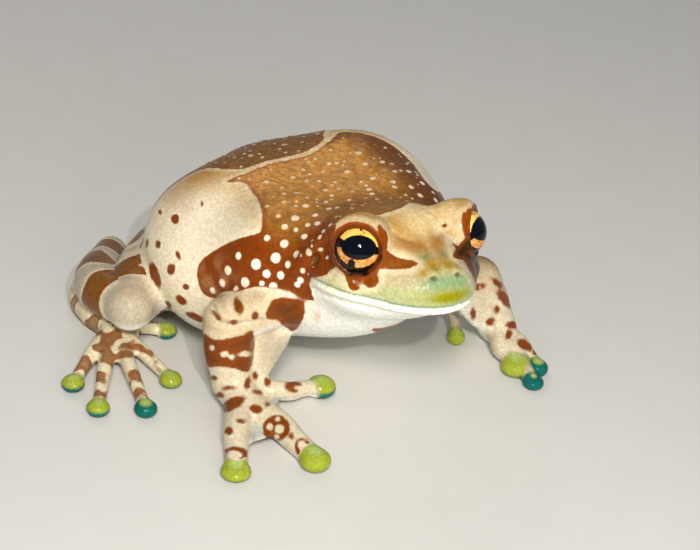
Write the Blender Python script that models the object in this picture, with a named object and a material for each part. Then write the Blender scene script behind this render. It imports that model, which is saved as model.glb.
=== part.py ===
"""Amazon milk frog, life-size, crouched on a level floor with its head raised.

Metres, +Z up, floor at z = 0. The frog looks along -Y, so its left side is +X and its right side
is -X. The numbers below are millimetres and are scaled once, where a shape is made.
"""
from collections import namedtuple
import math

import bmesh
import bpy
from mathutils import Matrix, Vector

MM = 0.001
GAP = 0.3  # air between two neighbouring pieces
SETTLE = 0.25  # depth that a resting piece is pressed flat by its weight
FLOOR_BLOCK = 200.0  # side of the block that trims everything under the floor
STANDS_AT = (-0.75, -4.55, 0.0)  # moves the middle of the frog's box over the origin

# ------------------------------------------------------------------ head
HEAD_AT = (-0.9, -25.2, 36.4)  # midway between the centres of the eyes
HEAD_TURN = (-5.9, -8.0, 3.6)  # yaw to its right, snout raised, right side higher, in degrees
EYE_SPREAD = 10.4  # from the middle of the head to the centre of an eye
EYE_RADIUS = 4.25
SKULL = ((0, 4.8, -3.4), (13.0, 11.0, 7.9))
SNOUT = ((0, -3.4, -4.9), (8.9, 8.6, 5.0))
UPPER_JAW = ((0, 3.8, -6.0), (15.0, 12.0, 3.8))
UPPER_LIP = ((0, -3.2, -6.0), (8.6, 9.2, 3.4))
LOWER_JAW = ((0, 4.6, -8.6), (14.0, 11.4, 3.8))
LOWER_LIP = ((-0.3, -3.0, -7.9), (7.6, 8.6, 2.2))
THROAT = ((0, 6.0, -10.0), (12.0, 10.0, 4.5))
NECK = ((0, 12.0, -8.0), (13.0, 10.0, 8.0))
BROW = ((9.7, 0.6, 0.95), (5.1, 5.4, 4.9))

# ------------------------------------------------------------------ trunk
BODY_PIVOT = (0.0, -12.0, 20.0)
BODY_TURN = (-8.0, 0.0, -4.0)  # the rump swings to its left, the left side is a little higher
RIGHT_FLANK = ((-13.0, 12.5, 18.0), (17.2, 20.0, 15.2))
LEFT_FLANK = ((12.0, 11.0, 19.5), (15.5, 20.0, 16.0))
RIGHT_SHOULDER = ((-9.5, -4.0, 24.5), (13.5, 12.0, 11.5))
LEFT_SHOULDER = ((8.9, -4.0, 24.4), (12.6, 12.0, 11.3))
BELLY = ((0, 13.0, 18.2), (18.0, 25.0, 15.6))
RUMP = ((0, 30.5, 10.9), (14.5, 14.0, 11.9))
CHEST = ((0, -8.0, 21.0), (13.0, 14.0, 9.5))

# ------------------------------------------------------------------ limbs: (x, y, z, radius) along each
UPPER_ARM = {
    "r": [(-12, -11, 21.5, 4.6), (-17.5, -9, 20.3, 4.3), (-23.8, -5.2, 16.5, 4.2)],
    "l": [(11, -12, 17, 5.0), (18.5, -12, 16.4, 4.4), (27, -13, 14.4, 4.0)],
}
FOREARM = {
    "r": [(-23.8, -5.2, 16.5, 4.2), (-24.3, -5.9, 11, 4.3), (-23.9, -7, 5, 3.2)],
    "l": [(27, -13, 14.4, 4.0), (29.6, -14.2, 9.8, 3.8), (31.6, -14.6, 5, 3.3)],
}
ELBOW_SKIN = {  # the fold inside the bent elbow
    "r": [(-21, -7, 14, 3.2), (-17, -7.8, 12.2, 3.4), (-19, -8, 5.8, 2.2)],
    "l": [(27, -13.5, 13, 3.0), (23.2, -14, 12.4, 2.6), (27.2, -14.5, 6.8, 2.2)],
}
PALM = {
    "r": [(-23.9, -7, 4.2, 3.2), (-24.4, -10.4, 3.4, 3.3)],
    "l": [(31.6, -14.6, 4.2, 3.3), (31.6, -16.4, 3.4, 3.1)],
}
# A finger or toe: its middle knuckle and thickness, its disc's centre, radius and half-height.
Digit = namedtuple("Digit", "knuckle thick tip disc flat")
FINGERS = {  # from the innermost outwards
    "r": [
        Digit((-19.2, -3.0, 3.2), 1.6, (-16.4, 0.3), 2.2, 1.7),
        Digit((-16.0, -12.2, 3.0), 1.75, (-8.1, -12.8), 2.75, 1.9),
        Digit((-22.8, -19.7, 3.0), 2.5, (-22.2, -30.7), 2.75, 1.9),
        Digit((-30.3, -18.4, 2.8), 2.4, (-35.3, -25.9), 2.65, 1.35),
    ],
    "l": [
        Digit((27.5, -6.8, 5.2), 1.3, (24.9, -11.5), 1.75, 1.6),
        Digit((28.2, -20.4, 3.2), 1.8, (27.8, -25.5), 2.7, 1.8),
        Digit((29.8, -22.4, 3.0), 1.7, (27.8, -30.8), 2.0, 1.3),
        Digit((32.2, -21.4, 3.2), 1.7, (31.5, -27.8), 2.0, 1.6),
    ],
}
THIGH = {
    "r": [(-5, 35, 9.3, 8.2), (-20, 27, 8.5, 7.0), (-31, 16.5, 9.8, 4.2)],
    "l": [(13, 34, 9.3, 8.2), (26, 27.5, 8.8, 7.0), (36, 16.5, 9.8, 4.2)],
}
SHANK = {
    "r": [(-31, 16.5, 9.8, 4.0), (-30, 30, 7.6, 4.6), (-19, 44, 4.6, 3.1)],
    "l": [(36, 16.5, 9.8, 4.0), (35.5, 30, 7.6, 4.6), (25, 44, 4.6, 3.1)],
}
FOOT = {
    "r": [(-19, 44, 3.4, 2.9), (-29.5, 36.5, 2.5, 2.6), (-31.8, 29, 2.5, 2.7), (-31.2, 22.5, 2.6, 2.6)],
    "l": [(25, 44, 3.4, 2.9), (34.5, 38.5, 2.5, 2.6), (36.2, 32, 2.5, 2.7), (35.2, 26, 2.6, 2.6)],
}
# The centres of the toes' discs, from the innermost outwards.
TOES = {
    "r": [(-22.1, 18), (-30.2, 3.3), (-38.9, -2.4), (-46, 2), (-46, 11)],
    "l": [(26.8, 19.5), (33, 5.5), (39.5, 0), (44.5, 6.5), (47.5, 15.5)],
}
TOE_THICK, TOE_DISC, TOE_FLAT = 1.4, 2.1, 1.5
TOE_ARCH = 0.7  # how much higher a toe's knuckle stands than its ends
DIGIT_START = 2.4  # from the middle of the wrist, palm or sole to where a digit begins
DIGIT_NECK = 0.8  # thickness beside the disc, as a share of the knuckle's
NECK_REACH = 0.6  # how far from the disc's centre the neck ends, in disc radii
WEB_THICKNESS = 0.9

# How a kind of piece is made: voxel size, softening passes and triangles.
Finish = namedtuple("Finish", "voxel softening triangles")
TRUNK_FINISH = Finish(0.9, 30, 600)
HEAD_FINISH = Finish(0.6, 12, 660)
THIGH_FINISH = Finish(0.7, 5, 170)
LIMB_FINISH = Finish(0.6, 5, 130)
HAND_FINISH = Finish(0.45, 4, 170)
DIGIT_FINISH = Finish(0.45, 3, 92)
EYE_FINISH = Finish(0.5, 2, 220)
BALL_SEGMENTS, BALL_RINGS = 32, 20
TUBE_RESOLUTION, TUBE_STEPS = 6, 8
MERGE_DISTANCE = 0.01
SKIN_ROUGHNESS = 0.35

SKIN_CREAM = (0.72, 0.60, 0.44)
SKIN_BROWN = (0.30, 0.13, 0.06)
SKIN_HEAD = (0.66, 0.55, 0.33)
DISC_GREEN = (0.50, 0.58, 0.14)
EYE_DARK = (0.02, 0.02, 0.03)


def turned(yaw, pitch, roll):
    """The rotation of a part that turns about Z, then tips about its own X, then leans about Y."""
    return (Matrix.Rotation(math.radians(yaw), 3, "Z") @ Matrix.Rotation(math.radians(pitch), 3, "X")
            @ Matrix.Rotation(math.radians(roll), 3, "Y"))


HEAD_ROTATION = turned(*HEAD_TURN)
BODY_ROTATION = turned(*BODY_TURN)


def on_head(point):
    return HEAD_ROTATION @ Vector(point) + Vector(HEAD_AT)


def on_body(point):
    return BODY_ROTATION @ (Vector(point) - Vector(BODY_PIVOT)) + Vector(BODY_PIVOT)


# ------------------------------------------------------------------ shapes
def ball(bm, centre, radii, rotation=Matrix.Identity(3)):
    """An ellipsoid."""
    scale = Matrix.Diagonal([radius * MM for radius in radii]).to_4x4()
    place = Matrix.Translation(Vector(centre) * MM) @ rotation.to_4x4() @ scale
    bmesh.ops.create_uvsphere(bm, u_segments=BALL_SEGMENTS, v_segments=BALL_RINGS, radius=1.0, matrix=place)


def tube(bm, rows):
    """A round limb through (x, y, z, radius) rows: a bevelled curve with a ball at each end."""
    curve = bpy.data.curves.new("limb", "CURVE")
    curve.dimensions = "3D"
    curve.bevel_depth = 1.0
    curve.bevel_resolution = TUBE_RESOLUTION
    curve.resolution_u = TUBE_STEPS
    curve.use_fill_caps = True
    spline = curve.splines.new("BEZIER")
    spline.bezier_points.add(len(rows) - 1)
    for point, (x, y, z, radius) in zip(spline.bezier_points, rows):
        point.co = Vector((x, y, z)) * MM
        point.radius = radius * MM
        point.handle_left_type = point.handle_right_type = "AUTO"
    limb = bpy.data.objects.new("limb", curve)
    bpy.context.scene.collection.objects.link(limb)
    mesh = bpy.data.meshes.new_from_object(limb.evaluated_get(bpy.context.evaluated_depsgraph_get()))
    bm.from_mesh(mesh)
    bpy.data.meshes.remove(mesh)
    bpy.data.objects.remove(limb)
    for x, y, z, radius in (rows[0], rows[-1]):
        ball(bm, (x, y, z), (radius, radius, radius))


def web(bm, a, b, c):
    """A thin triangle of skin between two digits."""
    corners = [Vector(point) * MM for point in (a, b, c)]
    rise = Vector((0, 0, WEB_THICKNESS / 2 * MM))
    under = [bm.verts.new(corner - rise) for corner in corners]
    over = [bm.verts.new(corner + rise) for corner in corners]
    faces = [bm.faces.new(under[::-1]), bm.faces.new(over)]
    for i in range(3):
        j = (i + 1) % 3
        faces.append(bm.faces.new((under[i], under[j], over[j], over[i])))
    bmesh.ops.recalc_face_normals(bm, faces=faces)


def shape_digit(root, digit):
    """A finger or toe: a tapering limb from the root over its knuckle to a flat round disc."""
    def shape(bm):
        start, knuckle = Vector(root), Vector(digit.knuckle)
        tip = Vector((*digit.tip, digit.flat - SETTLE))
        away = (knuckle - start).normalized()
        along = (tip - knuckle).normalized()
        tube(bm, [(*(start + away * DIGIT_START), digit.thick), (*knuckle, digit.thick),
                  (*(tip - along * digit.disc * NECK_REACH), digit.thick * DIGIT_NECK)])
        ball(bm, tip, (digit.disc, digit.disc, digit.flat))
    return shape


# ------------------------------------------------------------------ the pieces
def shape_head(bm):
    for centre, radii in (SKULL, SNOUT, UPPER_JAW, UPPER_LIP, LOWER_JAW, LOWER_LIP, THROAT, NECK):
        ball(bm, on_head(centre), radii, HEAD_ROTATION)
    (x, y, z), radii = BROW
    for side in (-1, 1):
        ball(bm, on_head((side * x, y, z)), radii, HEAD_ROTATION)


def shape_trunk(bm):
    for centre, radii in (RIGHT_FLANK, LEFT_FLANK, RIGHT_SHOULDER, LEFT_SHOULDER, BELLY, RUMP, CHEST):
        ball(bm, on_body(centre), radii, BODY_ROTATION)


def shape_eye(side):
    def shape(bm):
        sign = 1 if side == "l" else -1
        ball(bm, on_head((sign * EYE_SPREAD, 0, 0)), [EYE_RADIUS] * 3, HEAD_ROTATION)
    return shape


def shape_limb(*limbs):
    def shape(bm):
        for rows in limbs:
            tube(bm, rows)
    return shape


def shape_palm(rows, knuckles):
    """A palm or sole, with thin skin between neighbouring knuckles."""
    def shape(bm):
        tube(bm, rows)
        for a, b in zip(knuckles, knuckles[1:]):
            web(bm, rows[-1][:3], a, b)
    return shape


def toe(side, tip):
    sole = Vector(FOOT[side][-1][:3])
    knuckle = (sole + Vector((*tip, TOE_FLAT)) + Vector((0, 0, TOE_ARCH))) / 2
    return Digit(knuckle, TOE_THICK, tip, TOE_DISC, TOE_FLAT)


def arm_pieces(side):
    wrist, palm = (row[:3] for row in PALM[side])
    outer_knuckles = [digit.knuckle for digit in FINGERS[side][1:]]
    found = [
        (f"upper_arm_{side}", shape_limb(UPPER_ARM[side]), LIMB_FINISH, SKIN_CREAM),
        (f"forearm_{side}", shape_limb(FOREARM[side], ELBOW_SKIN[side]), LIMB_FINISH, SKIN_BROWN),
        (f"hand_{side}", shape_palm(PALM[side], outer_knuckles), HAND_FINISH, SKIN_CREAM),
    ]
    for number, (root, digit) in enumerate(zip((wrist, wrist, palm, palm), FINGERS[side]), start=1):
        found.append((f"finger_{side}_{number}", shape_digit(root, digit), DIGIT_FINISH, DISC_GREEN))
    return found


def leg_pieces(side):
    toes = [toe(side, tip) for tip in TOES[side]]
    found = [
        (f"thigh_{side}", shape_limb(THIGH[side]), THIGH_FINISH, SKIN_BROWN),
        (f"shank_{side}", shape_limb(SHANK[side]), LIMB_FINISH, SKIN_CREAM),
        (f"foot_{side}", shape_palm(FOOT[side], [digit.knuckle for digit in toes]), HAND_FINISH, SKIN_CREAM),
    ]
    for number, digit in enumerate(toes, start=1):
        found.append((f"toe_{side}_{number}", shape_digit(FOOT[side][-1][:3], digit), DIGIT_FINISH, DISC_GREEN))
    return found


def pieces():
    """(name, shape, finish, colour) of each piece. All that follow a piece trim it."""
    found = [("trunk", shape_trunk, TRUNK_FINISH, SKIN_BROWN), ("head", shape_head, HEAD_FINISH, SKIN_HEAD)]
    for side in ("r", "l"):
        found += leg_pieces(side) + arm_pieces(side)
        found.append((f"eye_{side}", shape_eye(side), EYE_FINISH, EYE_DARK))
    return found


# ------------------------------------------------------------------ solids
def evaluated_mesh(obj):
    return bpy.data.meshes.new_from_object(obj.evaluated_get(bpy.context.evaluated_depsgraph_get()))


def bake(obj):
    """Replaces the object's mesh by what its modifiers make of it."""
    mesh, old = evaluated_mesh(obj), obj.data
    obj.modifiers.clear()
    obj.data = mesh
    bpy.data.meshes.remove(old)


def solid(name, shape, finish):
    """One closed body: the shapes run together, softened, and thinned to the triangles it needs."""
    mesh = bpy.data.meshes.new(name)
    bm = bmesh.new()
    shape(bm)
    bm.to_mesh(mesh)
    bm.free()
    obj = bpy.data.objects.new(name, mesh)
    bpy.context.scene.collection.objects.link(obj)
    remesh = obj.modifiers.new("Run together", "REMESH")
    remesh.mode = "VOXEL"
    remesh.voxel_size = finish.voxel * MM
    smooth = obj.modifiers.new("Soften", "SMOOTH")
    smooth.iterations = finish.softening
    bake(obj)
    thin = obj.modifiers.new("Thin", "DECIMATE")
    thin.ratio = finish.triangles / (2 * len(obj.data.polygons))
    bake(obj)
    return obj


def grown(body):
    """A copy of the body that is larger all round by the gap: the cutter for its neighbours."""
    obj = bpy.data.objects.new(f"{body.name}_cutter", body.data.copy())
    bpy.context.scene.collection.objects.link(obj)
    swell = obj.modifiers.new("Swell", "DISPLACE")
    swell.strength = GAP * MM
    swell.mid_level = 0.0
    bake(obj)
    return obj


def subtract(obj, cutter):
    cut = obj.modifiers.new("Trim", "BOOLEAN")
    cut.operation = "DIFFERENCE"
    cut.solver = "EXACT"
    cut.object = cutter
    bake(obj)


def box_of(obj):
    corners = [vertex.co for vertex in obj.data.vertices]
    return [(min(c[i] for c in corners), max(c[i] for c in corners)) for i in range(3)]


def meet(first, second):
    return all(a[0] < b[1] and b[0] < a[1] for a, b in zip(box_of(first), box_of(second)))


def keep_largest(obj):
    """Removes the crumbs that a trim can leave beside the body."""
    bm = bmesh.new()
    bm.from_mesh(obj.data)
    seen, islands = set(), []
    for start in bm.verts:
        if start in seen:
            continue
        island, front = set(), [start]
        while front:
            vertex = front.pop()
            if vertex not in island:
                island.add(vertex)
                front += [edge.other_vert(vertex) for edge in vertex.link_edges]
        seen |= island
        islands.append(island)
    largest = max(islands, key=len)
    bmesh.ops.delete(bm, geom=[v for v in bm.verts if v not in largest], context="VERTS")
    bmesh.ops.remove_doubles(bm, verts=bm.verts, dist=MERGE_DISTANCE * MM)
    bmesh.ops.triangulate(bm, faces=bm.faces)
    bm.to_mesh(obj.data)
    bm.free()


def principled(name, colour):
    material = bpy.data.materials.new(name)
    material.use_nodes = True
    shader = material.node_tree.nodes["Principled BSDF"]
    shader.inputs["Base Color"].default_value = (*colour, 1.0)
    shader.inputs["Roughness"].default_value = SKIN_ROUGHNESS
    return material


def place(obj, root):
    """Puts the object's origin in its own middle and hangs it from the root."""
    middle = Vector([(low + high) / 2 for low, high in box_of(obj)])
    obj.data.transform(Matrix.Translation(-middle))
    obj.location = middle
    obj.parent = root
    obj.data.shade_smooth()


def build():
    for obj in list(bpy.data.objects):
        bpy.data.objects.remove(obj)
    bpy.ops.mesh.primitive_cube_add(size=FLOOR_BLOCK * MM, location=(0, 0, -FLOOR_BLOCK / 2 * MM))
    ground = bpy.context.object
    root = bpy.data.objects.new("amazon_milk_frog", None)
    root.location = Vector(STANDS_AT) * MM
    bpy.context.scene.collection.objects.link(root)
    listed = pieces()
    bodies = [solid(name, shape, finish) for name, shape, finish, _ in listed]
    cutters = [grown(body) for body in bodies]
    for i, (body, (name, _, _, colour)) in enumerate(zip(bodies, listed), start=1):
        for cutter in cutters[i:]:
            if meet(body, cutter):
                subtract(body, cutter)
        subtract(body, ground)
        keep_largest(body)
        body.data.materials.clear()
        body.data.materials.append(principled(f"{name} skin", colour))
    for helper in [ground, *cutters]:
        bpy.data.objects.remove(helper)
    for body in bodies:
        place(body, root)


build()
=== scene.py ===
from collections import namedtuple
import math

import bmesh
import bpy
import numpy as np
from mathutils import Matrix, Vector, noise


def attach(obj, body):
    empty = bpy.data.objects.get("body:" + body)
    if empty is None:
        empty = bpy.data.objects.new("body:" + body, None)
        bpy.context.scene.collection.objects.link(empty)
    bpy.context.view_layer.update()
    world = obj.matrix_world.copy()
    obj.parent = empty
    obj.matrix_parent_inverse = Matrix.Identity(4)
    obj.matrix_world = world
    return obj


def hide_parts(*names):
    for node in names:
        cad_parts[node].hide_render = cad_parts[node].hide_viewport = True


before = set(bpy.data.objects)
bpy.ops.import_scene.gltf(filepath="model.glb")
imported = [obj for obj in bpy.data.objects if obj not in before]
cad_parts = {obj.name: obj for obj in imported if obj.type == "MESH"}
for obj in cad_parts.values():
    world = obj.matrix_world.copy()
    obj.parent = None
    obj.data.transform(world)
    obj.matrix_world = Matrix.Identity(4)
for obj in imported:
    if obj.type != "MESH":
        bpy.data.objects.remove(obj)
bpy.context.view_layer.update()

# The looks of the amazon milk frog. One skin, made from named ellipsoids and round limbs that run
# into each other, stands for every node of flesh; two eyeballs stand for the eyes. The numbers are
# millimetres in the frog's own frame: it looks along -Y, +X is its left, the floor is z = 0.
MM = 0.001
STANDS_AT = np.array((-0.75, -4.55, 0.0))  # moves the middle of the frog's box over the origin
STEP = 0.5  # side of a cell of the skin's grid
BLOCK = 12  # cells along a side of the blocks that the grid is worked out in
FAR = 1000.0  # distance reported for a shape that is out of reach
REACH = 4.0  # a shape further than this from a block of points is skipped there
EDGE = 0.3  # softness of the edge where the floor presses the skin flat
SIDES = {"r": -1, "l": 1}


# ------------------------------------------------------------------ the camera
IMAGE = (700, 550)
CAMERA_TURN = (-39.0, 30.0, 5.0)  # azimuth, elevation and roll
CAMERA_DISTANCE = 320.0
CAMERA_TARGET = np.array((0.0, -24.0, 36.0))  # a point between the eyes
TARGET_PIXEL = (411, 238)  # where the photograph shows it
LENS, SENSOR = 96.0, 36.0
FOCAL = LENS / SENSOR * IMAGE[0]  # in pixels
PIXEL = CAMERA_DISTANCE / FOCAL  # size of a pixel at the frog


def unit(vector):
    return vector / np.linalg.norm(vector)


def camera_axes():
    """The camera's right, up and forward directions."""
    azimuth, elevation, roll = (math.radians(degrees) for degrees in CAMERA_TURN)
    forward = -np.array((math.sin(azimuth) * math.cos(elevation),
                         -math.cos(azimuth) * math.cos(elevation), math.sin(elevation)))
    right = unit(np.cross(forward, (0, 0, 1)))
    up = np.cross(right, forward)
    return (right * math.cos(roll) + up * math.sin(roll),
            up * math.cos(roll) - right * math.sin(roll), forward)


RIGHT, UP, FORWARD = camera_axes()


def sight(pixels):
    """Unit directions from the camera through pixels of the photograph."""
    pixels = np.asarray(pixels, float).reshape(-1, 2) - np.array(IMAGE) / 2
    rays = FORWARD * FOCAL + pixels[:, :1] * RIGHT - pixels[:, 1:] * UP
    return rays / np.linalg.norm(rays, axis=1)[:, None]


EYE_POINT = CAMERA_TARGET - sight([TARGET_PIXEL])[0] * CAMERA_DISTANCE  # where the camera stands


def pixels_of(points):
    """Where the photograph shows the points."""
    seen = points - EYE_POINT
    depth = seen @ FORWARD
    return np.stack((IMAGE[0] / 2 + FOCAL * (seen @ RIGHT) / depth,
                     IMAGE[1] / 2 - FOCAL * (seen @ UP) / depth), 1)


# ------------------------------------------------------------------ distances to shapes
def turned(yaw, pitch, roll):
    """A turn by roll about Y, then by pitch about X, then by yaw about Z."""
    whole = np.eye(3)
    for degrees, (i, j) in ((yaw, (0, 1)), (pitch, (1, 2)), (roll, (2, 0))):
        cosine, sine = math.cos(math.radians(degrees)), math.sin(math.radians(degrees))
        turn = np.eye(3)
        turn[i, i] = turn[j, j] = cosine
        turn[i, j], turn[j, i] = -sine, sine
        whole = whole @ turn
    return whole


def smooth_min(a, b, blend):
    h = np.maximum(blend - np.abs(a - b), 0.0) / blend
    return np.minimum(a, b) - h * h * blend * 0.25


def smooth_max(a, b, blend):
    return -smooth_min(-a, -b, blend)


def smoothstep(low, high, value):
    t = np.clip((value - low) / (high - low), 0.0, 1.0)
    return t * t * (3.0 - 2.0 * t)


def bump(value, middle, width):
    return np.exp(-((value - middle) / width) ** 2)


def length(vectors):
    return np.sqrt((vectors * vectors).sum(-1))


class Ball:
    """An ellipsoid."""

    def __init__(self, centre, radii, turn=None):
        self.centre, self.radii = np.array(centre, float), np.array(radii, float)
        self.turn = np.eye(3) if turn is None else turn
        reach = length(self.turn * self.radii)
        self.low, self.high = self.centre - reach, self.centre + reach

    def distance(self, points):
        local = (points - self.centre) @ self.turn
        near, slope = length(local / self.radii), length(local / self.radii ** 2)
        return near * (near - 1.0) / np.maximum(slope, 1e-9)


class Limb:
    """A round limb through (x, y, z, radius) rows, along a smooth curve."""

    def __init__(self, rows, parts=5):
        self.rows = curve_through(rows, parts)
        thickest = self.rows[:, 3].max()
        self.low = self.rows[:, :3].min(0) - thickest
        self.high = self.rows[:, :3].max(0) + thickest

    def measure(self, points):
        """Distance to the surface, and how far along the limb the nearest place lies."""
        found, place, before = np.full(len(points), FAR), np.zeros(len(points)), 0.0
        for start, end in zip(self.rows[:-1], self.rows[1:]):
            along = end[:3] - start[:3]
            span = np.linalg.norm(along)
            share = np.clip((points - start[:3]) @ along / span ** 2, 0.0, 1.0)
            radius = start[3] + share * (end[3] - start[3])
            away = length(points - start[:3] - share[:, None] * along) - radius
            place = np.where(away < found, before + share * span, place)
            found = np.minimum(found, away)
            before += span
        return found, place

    def distance(self, points):
        return self.measure(points)[0]


class Web:
    """A triangle of thin skin."""

    def __init__(self, corners, half):
        self.corners, self.half = [np.array(corner, float) for corner in corners], half
        self.low, self.high = np.min(self.corners, 0) - half, np.max(self.corners, 0) + half
        self.normal = np.cross(self.corners[1] - self.corners[0], self.corners[2] - self.corners[0])

    def distance(self, points):
        inside, edge = np.ones(len(points), bool), np.full(len(points), FAR ** 2)
        for a, b in zip(self.corners, self.corners[1:] + self.corners[:1]):
            side, from_a = b - a, points - a
            inside &= from_a @ np.cross(self.normal, side) > 0
            away = from_a - np.clip(from_a @ side / (side @ side), 0.0, 1.0)[:, None] * side
            edge = np.minimum(edge, (away * away).sum(1))
        plane = (from_a @ self.normal) ** 2 / (self.normal @ self.normal)
        return np.sqrt(np.where(inside, plane, edge)) - self.half


def curve_through(rows, parts, closed=False):
    """Points on a smooth curve through the rows, with the given number of parts in each span."""
    rows = np.array(rows, float)
    if len(rows) < 3:
        return rows
    if closed:
        rows = np.vstack((rows[-1:], rows, rows[:2]))
    else:
        rows = np.vstack((2 * rows[0] - rows[1], rows, 2 * rows[-1] - rows[-2]))
    found = []
    for a, b, c, d in zip(rows, rows[1:], rows[2:], rows[3:]):
        for t in np.arange(parts) / parts:
            found.append(0.5 * (2 * b + (c - a) * t + (2 * a - 5 * b + 4 * c - d) * t * t
                                + (3 * b - a - 3 * c + d) * t ** 3))
    return np.array(found if closed else found + [rows[-2]])


def union(shapes, points):
    """Distance to shapes that run into each other, each with its own blend."""
    low, high = points.min(0), points.max(0)
    found = np.full(len(points), FAR)
    for shape, blend in shapes:
        if np.all(shape.low - REACH - blend <= high) and np.all(shape.high + REACH + blend >= low):
            found = smooth_min(found, shape.distance(points), blend)
    return found


# ------------------------------------------------------------------ the head
HEAD_AT = np.array((-0.9, -25.2, 36.4))  # midway between the centres of the eyes
HEAD_TURN = turned(-5.9, -8.0, 3.6)  # yaw to its right, snout raised, right side higher
EYE_SPREAD = 10.4
EYE_RADIUS = 4.25
HEAD_BALLS = (  # centre, radii, blend
    ((0, 4.8, -3.4), (13.0, 11.0, 7.9), 3.0),  # skull
    ((0, -3.4, -4.9), (8.9, 8.6, 5.0), 3.0),  # snout
    ((0, 3.8, -6.0), (15.0, 12.0, 3.8), 3.0),  # upper jaw, back and front
    ((0, -3.2, -6.0), (8.6, 9.2, 3.4), 3.0),
    ((0, 4.6, -8.6), (14.0, 11.4, 3.8), 3.0),  # lower jaw, back and front
    ((-0.3, -3.0, -7.9), (7.6, 8.6, 2.2), 2.5),
    ((0, 6.0, -10.0), (12.0, 10.0, 4.5), 4.0),  # throat
    ((0, 12.0, -8.0), (13.0, 10.0, 8.0), 5.0),  # neck
)
BROW = ((9.7, 0.6, 0.95), (5.1, 5.4, 4.9), 2.5)
# The mouth's line: (how far back, height), from the front to the corner.
MOUTH_LINE = ((-13.0, -7.5), (-8.0, -7.5), (-5.0, -7.3), (-2.0, -7.1), (1.5, -6.9), (4.6, -6.95),
              (6.6, -7.25), (8.0, -8.0))
MOUTH_CORNER = 7.4  # how far back the mouth reaches
LID_AXIS = (42.0, 16.0)  # degrees outwards from straight ahead, and up
LID_RADIUS = 4.85  # outside of the lids
LID_OPEN, LID_HOOD, LID_FRONT = 66.0, 12.0, 8.0  # half the opening's angle; less of it above and in front
LID_RING = 76.0  # angle of the fold above the eye
PUPIL_AXIS = (32.5, 20.5)
FOLD = ((12.9, 5.2, 0.6), (14.0, 8.0, -1.6), (14.4, 10.2, -5.0), (14.6, 11.5, -9.0))  # behind the eye
# The crease inside the brow.
CREASE = ((4.2, 4.0, 3.2), (5.0, 1.0, 3.3), (5.2, -1.2, 2.9), (4.0, -2.4, 2.0), (2.4, -3.7, 1.6))
CREASE_DEPTH, CREASE_WIDTH = 0.45, 0.5
CREASES_BEHIND_EYE = (5.6, 6.5, 7.5)  # their distances from the middle of the eye
FINE_DEPTH, FINE_WIDTH = 0.16, 0.26  # of the creases behind the eye
TYMPANUM, TYMPANUM_RADIUS, TYMPANUM_DEPTH = np.array((13.8, 7.9, -4.6)), 1.1, 0.35
TYMPANUM_OVAL = (1.0, 1.0, 1.3)  # it is higher than long
NOSTRIL = np.array((2.6, -11.1, -2.6))
NOSTRIL_SIZE = (1.4, 1.0, 0.6)
NOSTRIL_SWELLING = NOSTRIL + (-0.4, 0.5, 0.7)  # the skin stands up round this place
# The lips' ridges and grooves: how far they stand out, height above the mouth's line, width.
LIP_RIDGES = ((0.36, -0.95, 0.6), (-0.2, -2.2, 0.7), (0.15, 0.7, 0.5), (-0.45, 0.0, 0.18))


def on_head(points):
    return np.array(points, float) @ HEAD_TURN.T + HEAD_AT


def to_head(points):
    return (points - HEAD_AT) @ HEAD_TURN


def mirrored(point, side):
    return np.array(point) * (side, 1, 1)


def eye_frame(axis, side):
    """Rows, in the head's frame: towards the snout, up, and out along an eye's axis."""
    out, up = (math.radians(a) for a in axis)
    out = np.array((side * math.sin(out) * math.cos(up), -math.cos(out) * math.cos(up), math.sin(up)))
    ahead = unit(np.cross(out, (0, 0, 1))) * side
    return np.array((ahead, np.cross(ahead, out) * side, out))


def eye_angles(head, side):
    """Round an eye: distance from its centre, angle from the lids' axis, the lids' opening, and height."""
    local = head - (side * EYE_SPREAD, 0, 0)
    ahead, up, out = (local @ row for row in eye_frame(LID_AXIS, side))
    across = np.maximum(np.hypot(ahead, up), 1e-6)
    high, forward = np.maximum(up / across, 0.0), np.maximum(ahead / across, 0.0)
    opening = np.radians(LID_OPEN - LID_HOOD * high ** 1.5 - LID_FRONT * forward ** 2)
    return length(local), np.arctan2(across, out), opening, up / across


def head_shapes():
    shapes = [(Ball(on_head(centre), radii, HEAD_TURN), blend) for centre, radii, blend in HEAD_BALLS]
    for side in SIDES.values():
        centre, radii, blend = BROW
        shapes.append((Ball(on_head(mirrored(centre, side)), radii, HEAD_TURN), blend))
        shapes.append((Ball(on_head((side * EYE_SPREAD, 0, 0)), [LID_RADIUS] * 3), 1.0))
        shapes.append((Limb([(*on_head(mirrored(point, side)), 1.0) for point in FOLD]), 1.6))
    return shapes


def carve_eye(found, head, side):
    """Opens the lids round the eye, with a thicker fold above."""
    radius, angle, opening, high = eye_angles(head, side)
    ring = math.radians(LID_RING)
    thick = 1.2 * smoothstep(-0.1, 0.6, high) - 0.3
    rim = np.hypot(radius * np.cos(angle) - LID_RADIUS * math.cos(ring),
                   radius * np.sin(angle) - LID_RADIUS * math.sin(ring)) - thick
    found = smooth_min(found, rim, 0.9)
    cone = radius * np.sin(np.clip(angle - opening, -math.pi / 2, math.pi / 2))
    found = smooth_max(found, -np.maximum(cone, radius - LID_RADIUS - 1.4), 0.4)
    return smooth_max(found, EYE_RADIUS - 0.1 - radius, 0.15)


def above_mouth(head):
    """Height above the mouth's line."""
    back, height = zip(*MOUTH_LINE)
    return head[:, 2] - np.interp(head[:, 1], back, height)


def folded(head):
    """Points of the head, with those of its right side mirrored onto the left."""
    return np.abs(head) * (1, 0, 0) + head * (0, 1, 1)


def in_nostril(beside):
    """Distance from the nostril's middle in units of its size."""
    return length((beside - NOSTRIL) / NOSTRIL_SIZE)


def in_tympanum(beside):
    return length((beside - TYMPANUM) / TYMPANUM_OVAL)


BROW_CREASE = Limb([(*point, 0.0) for point in CREASE])


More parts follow.
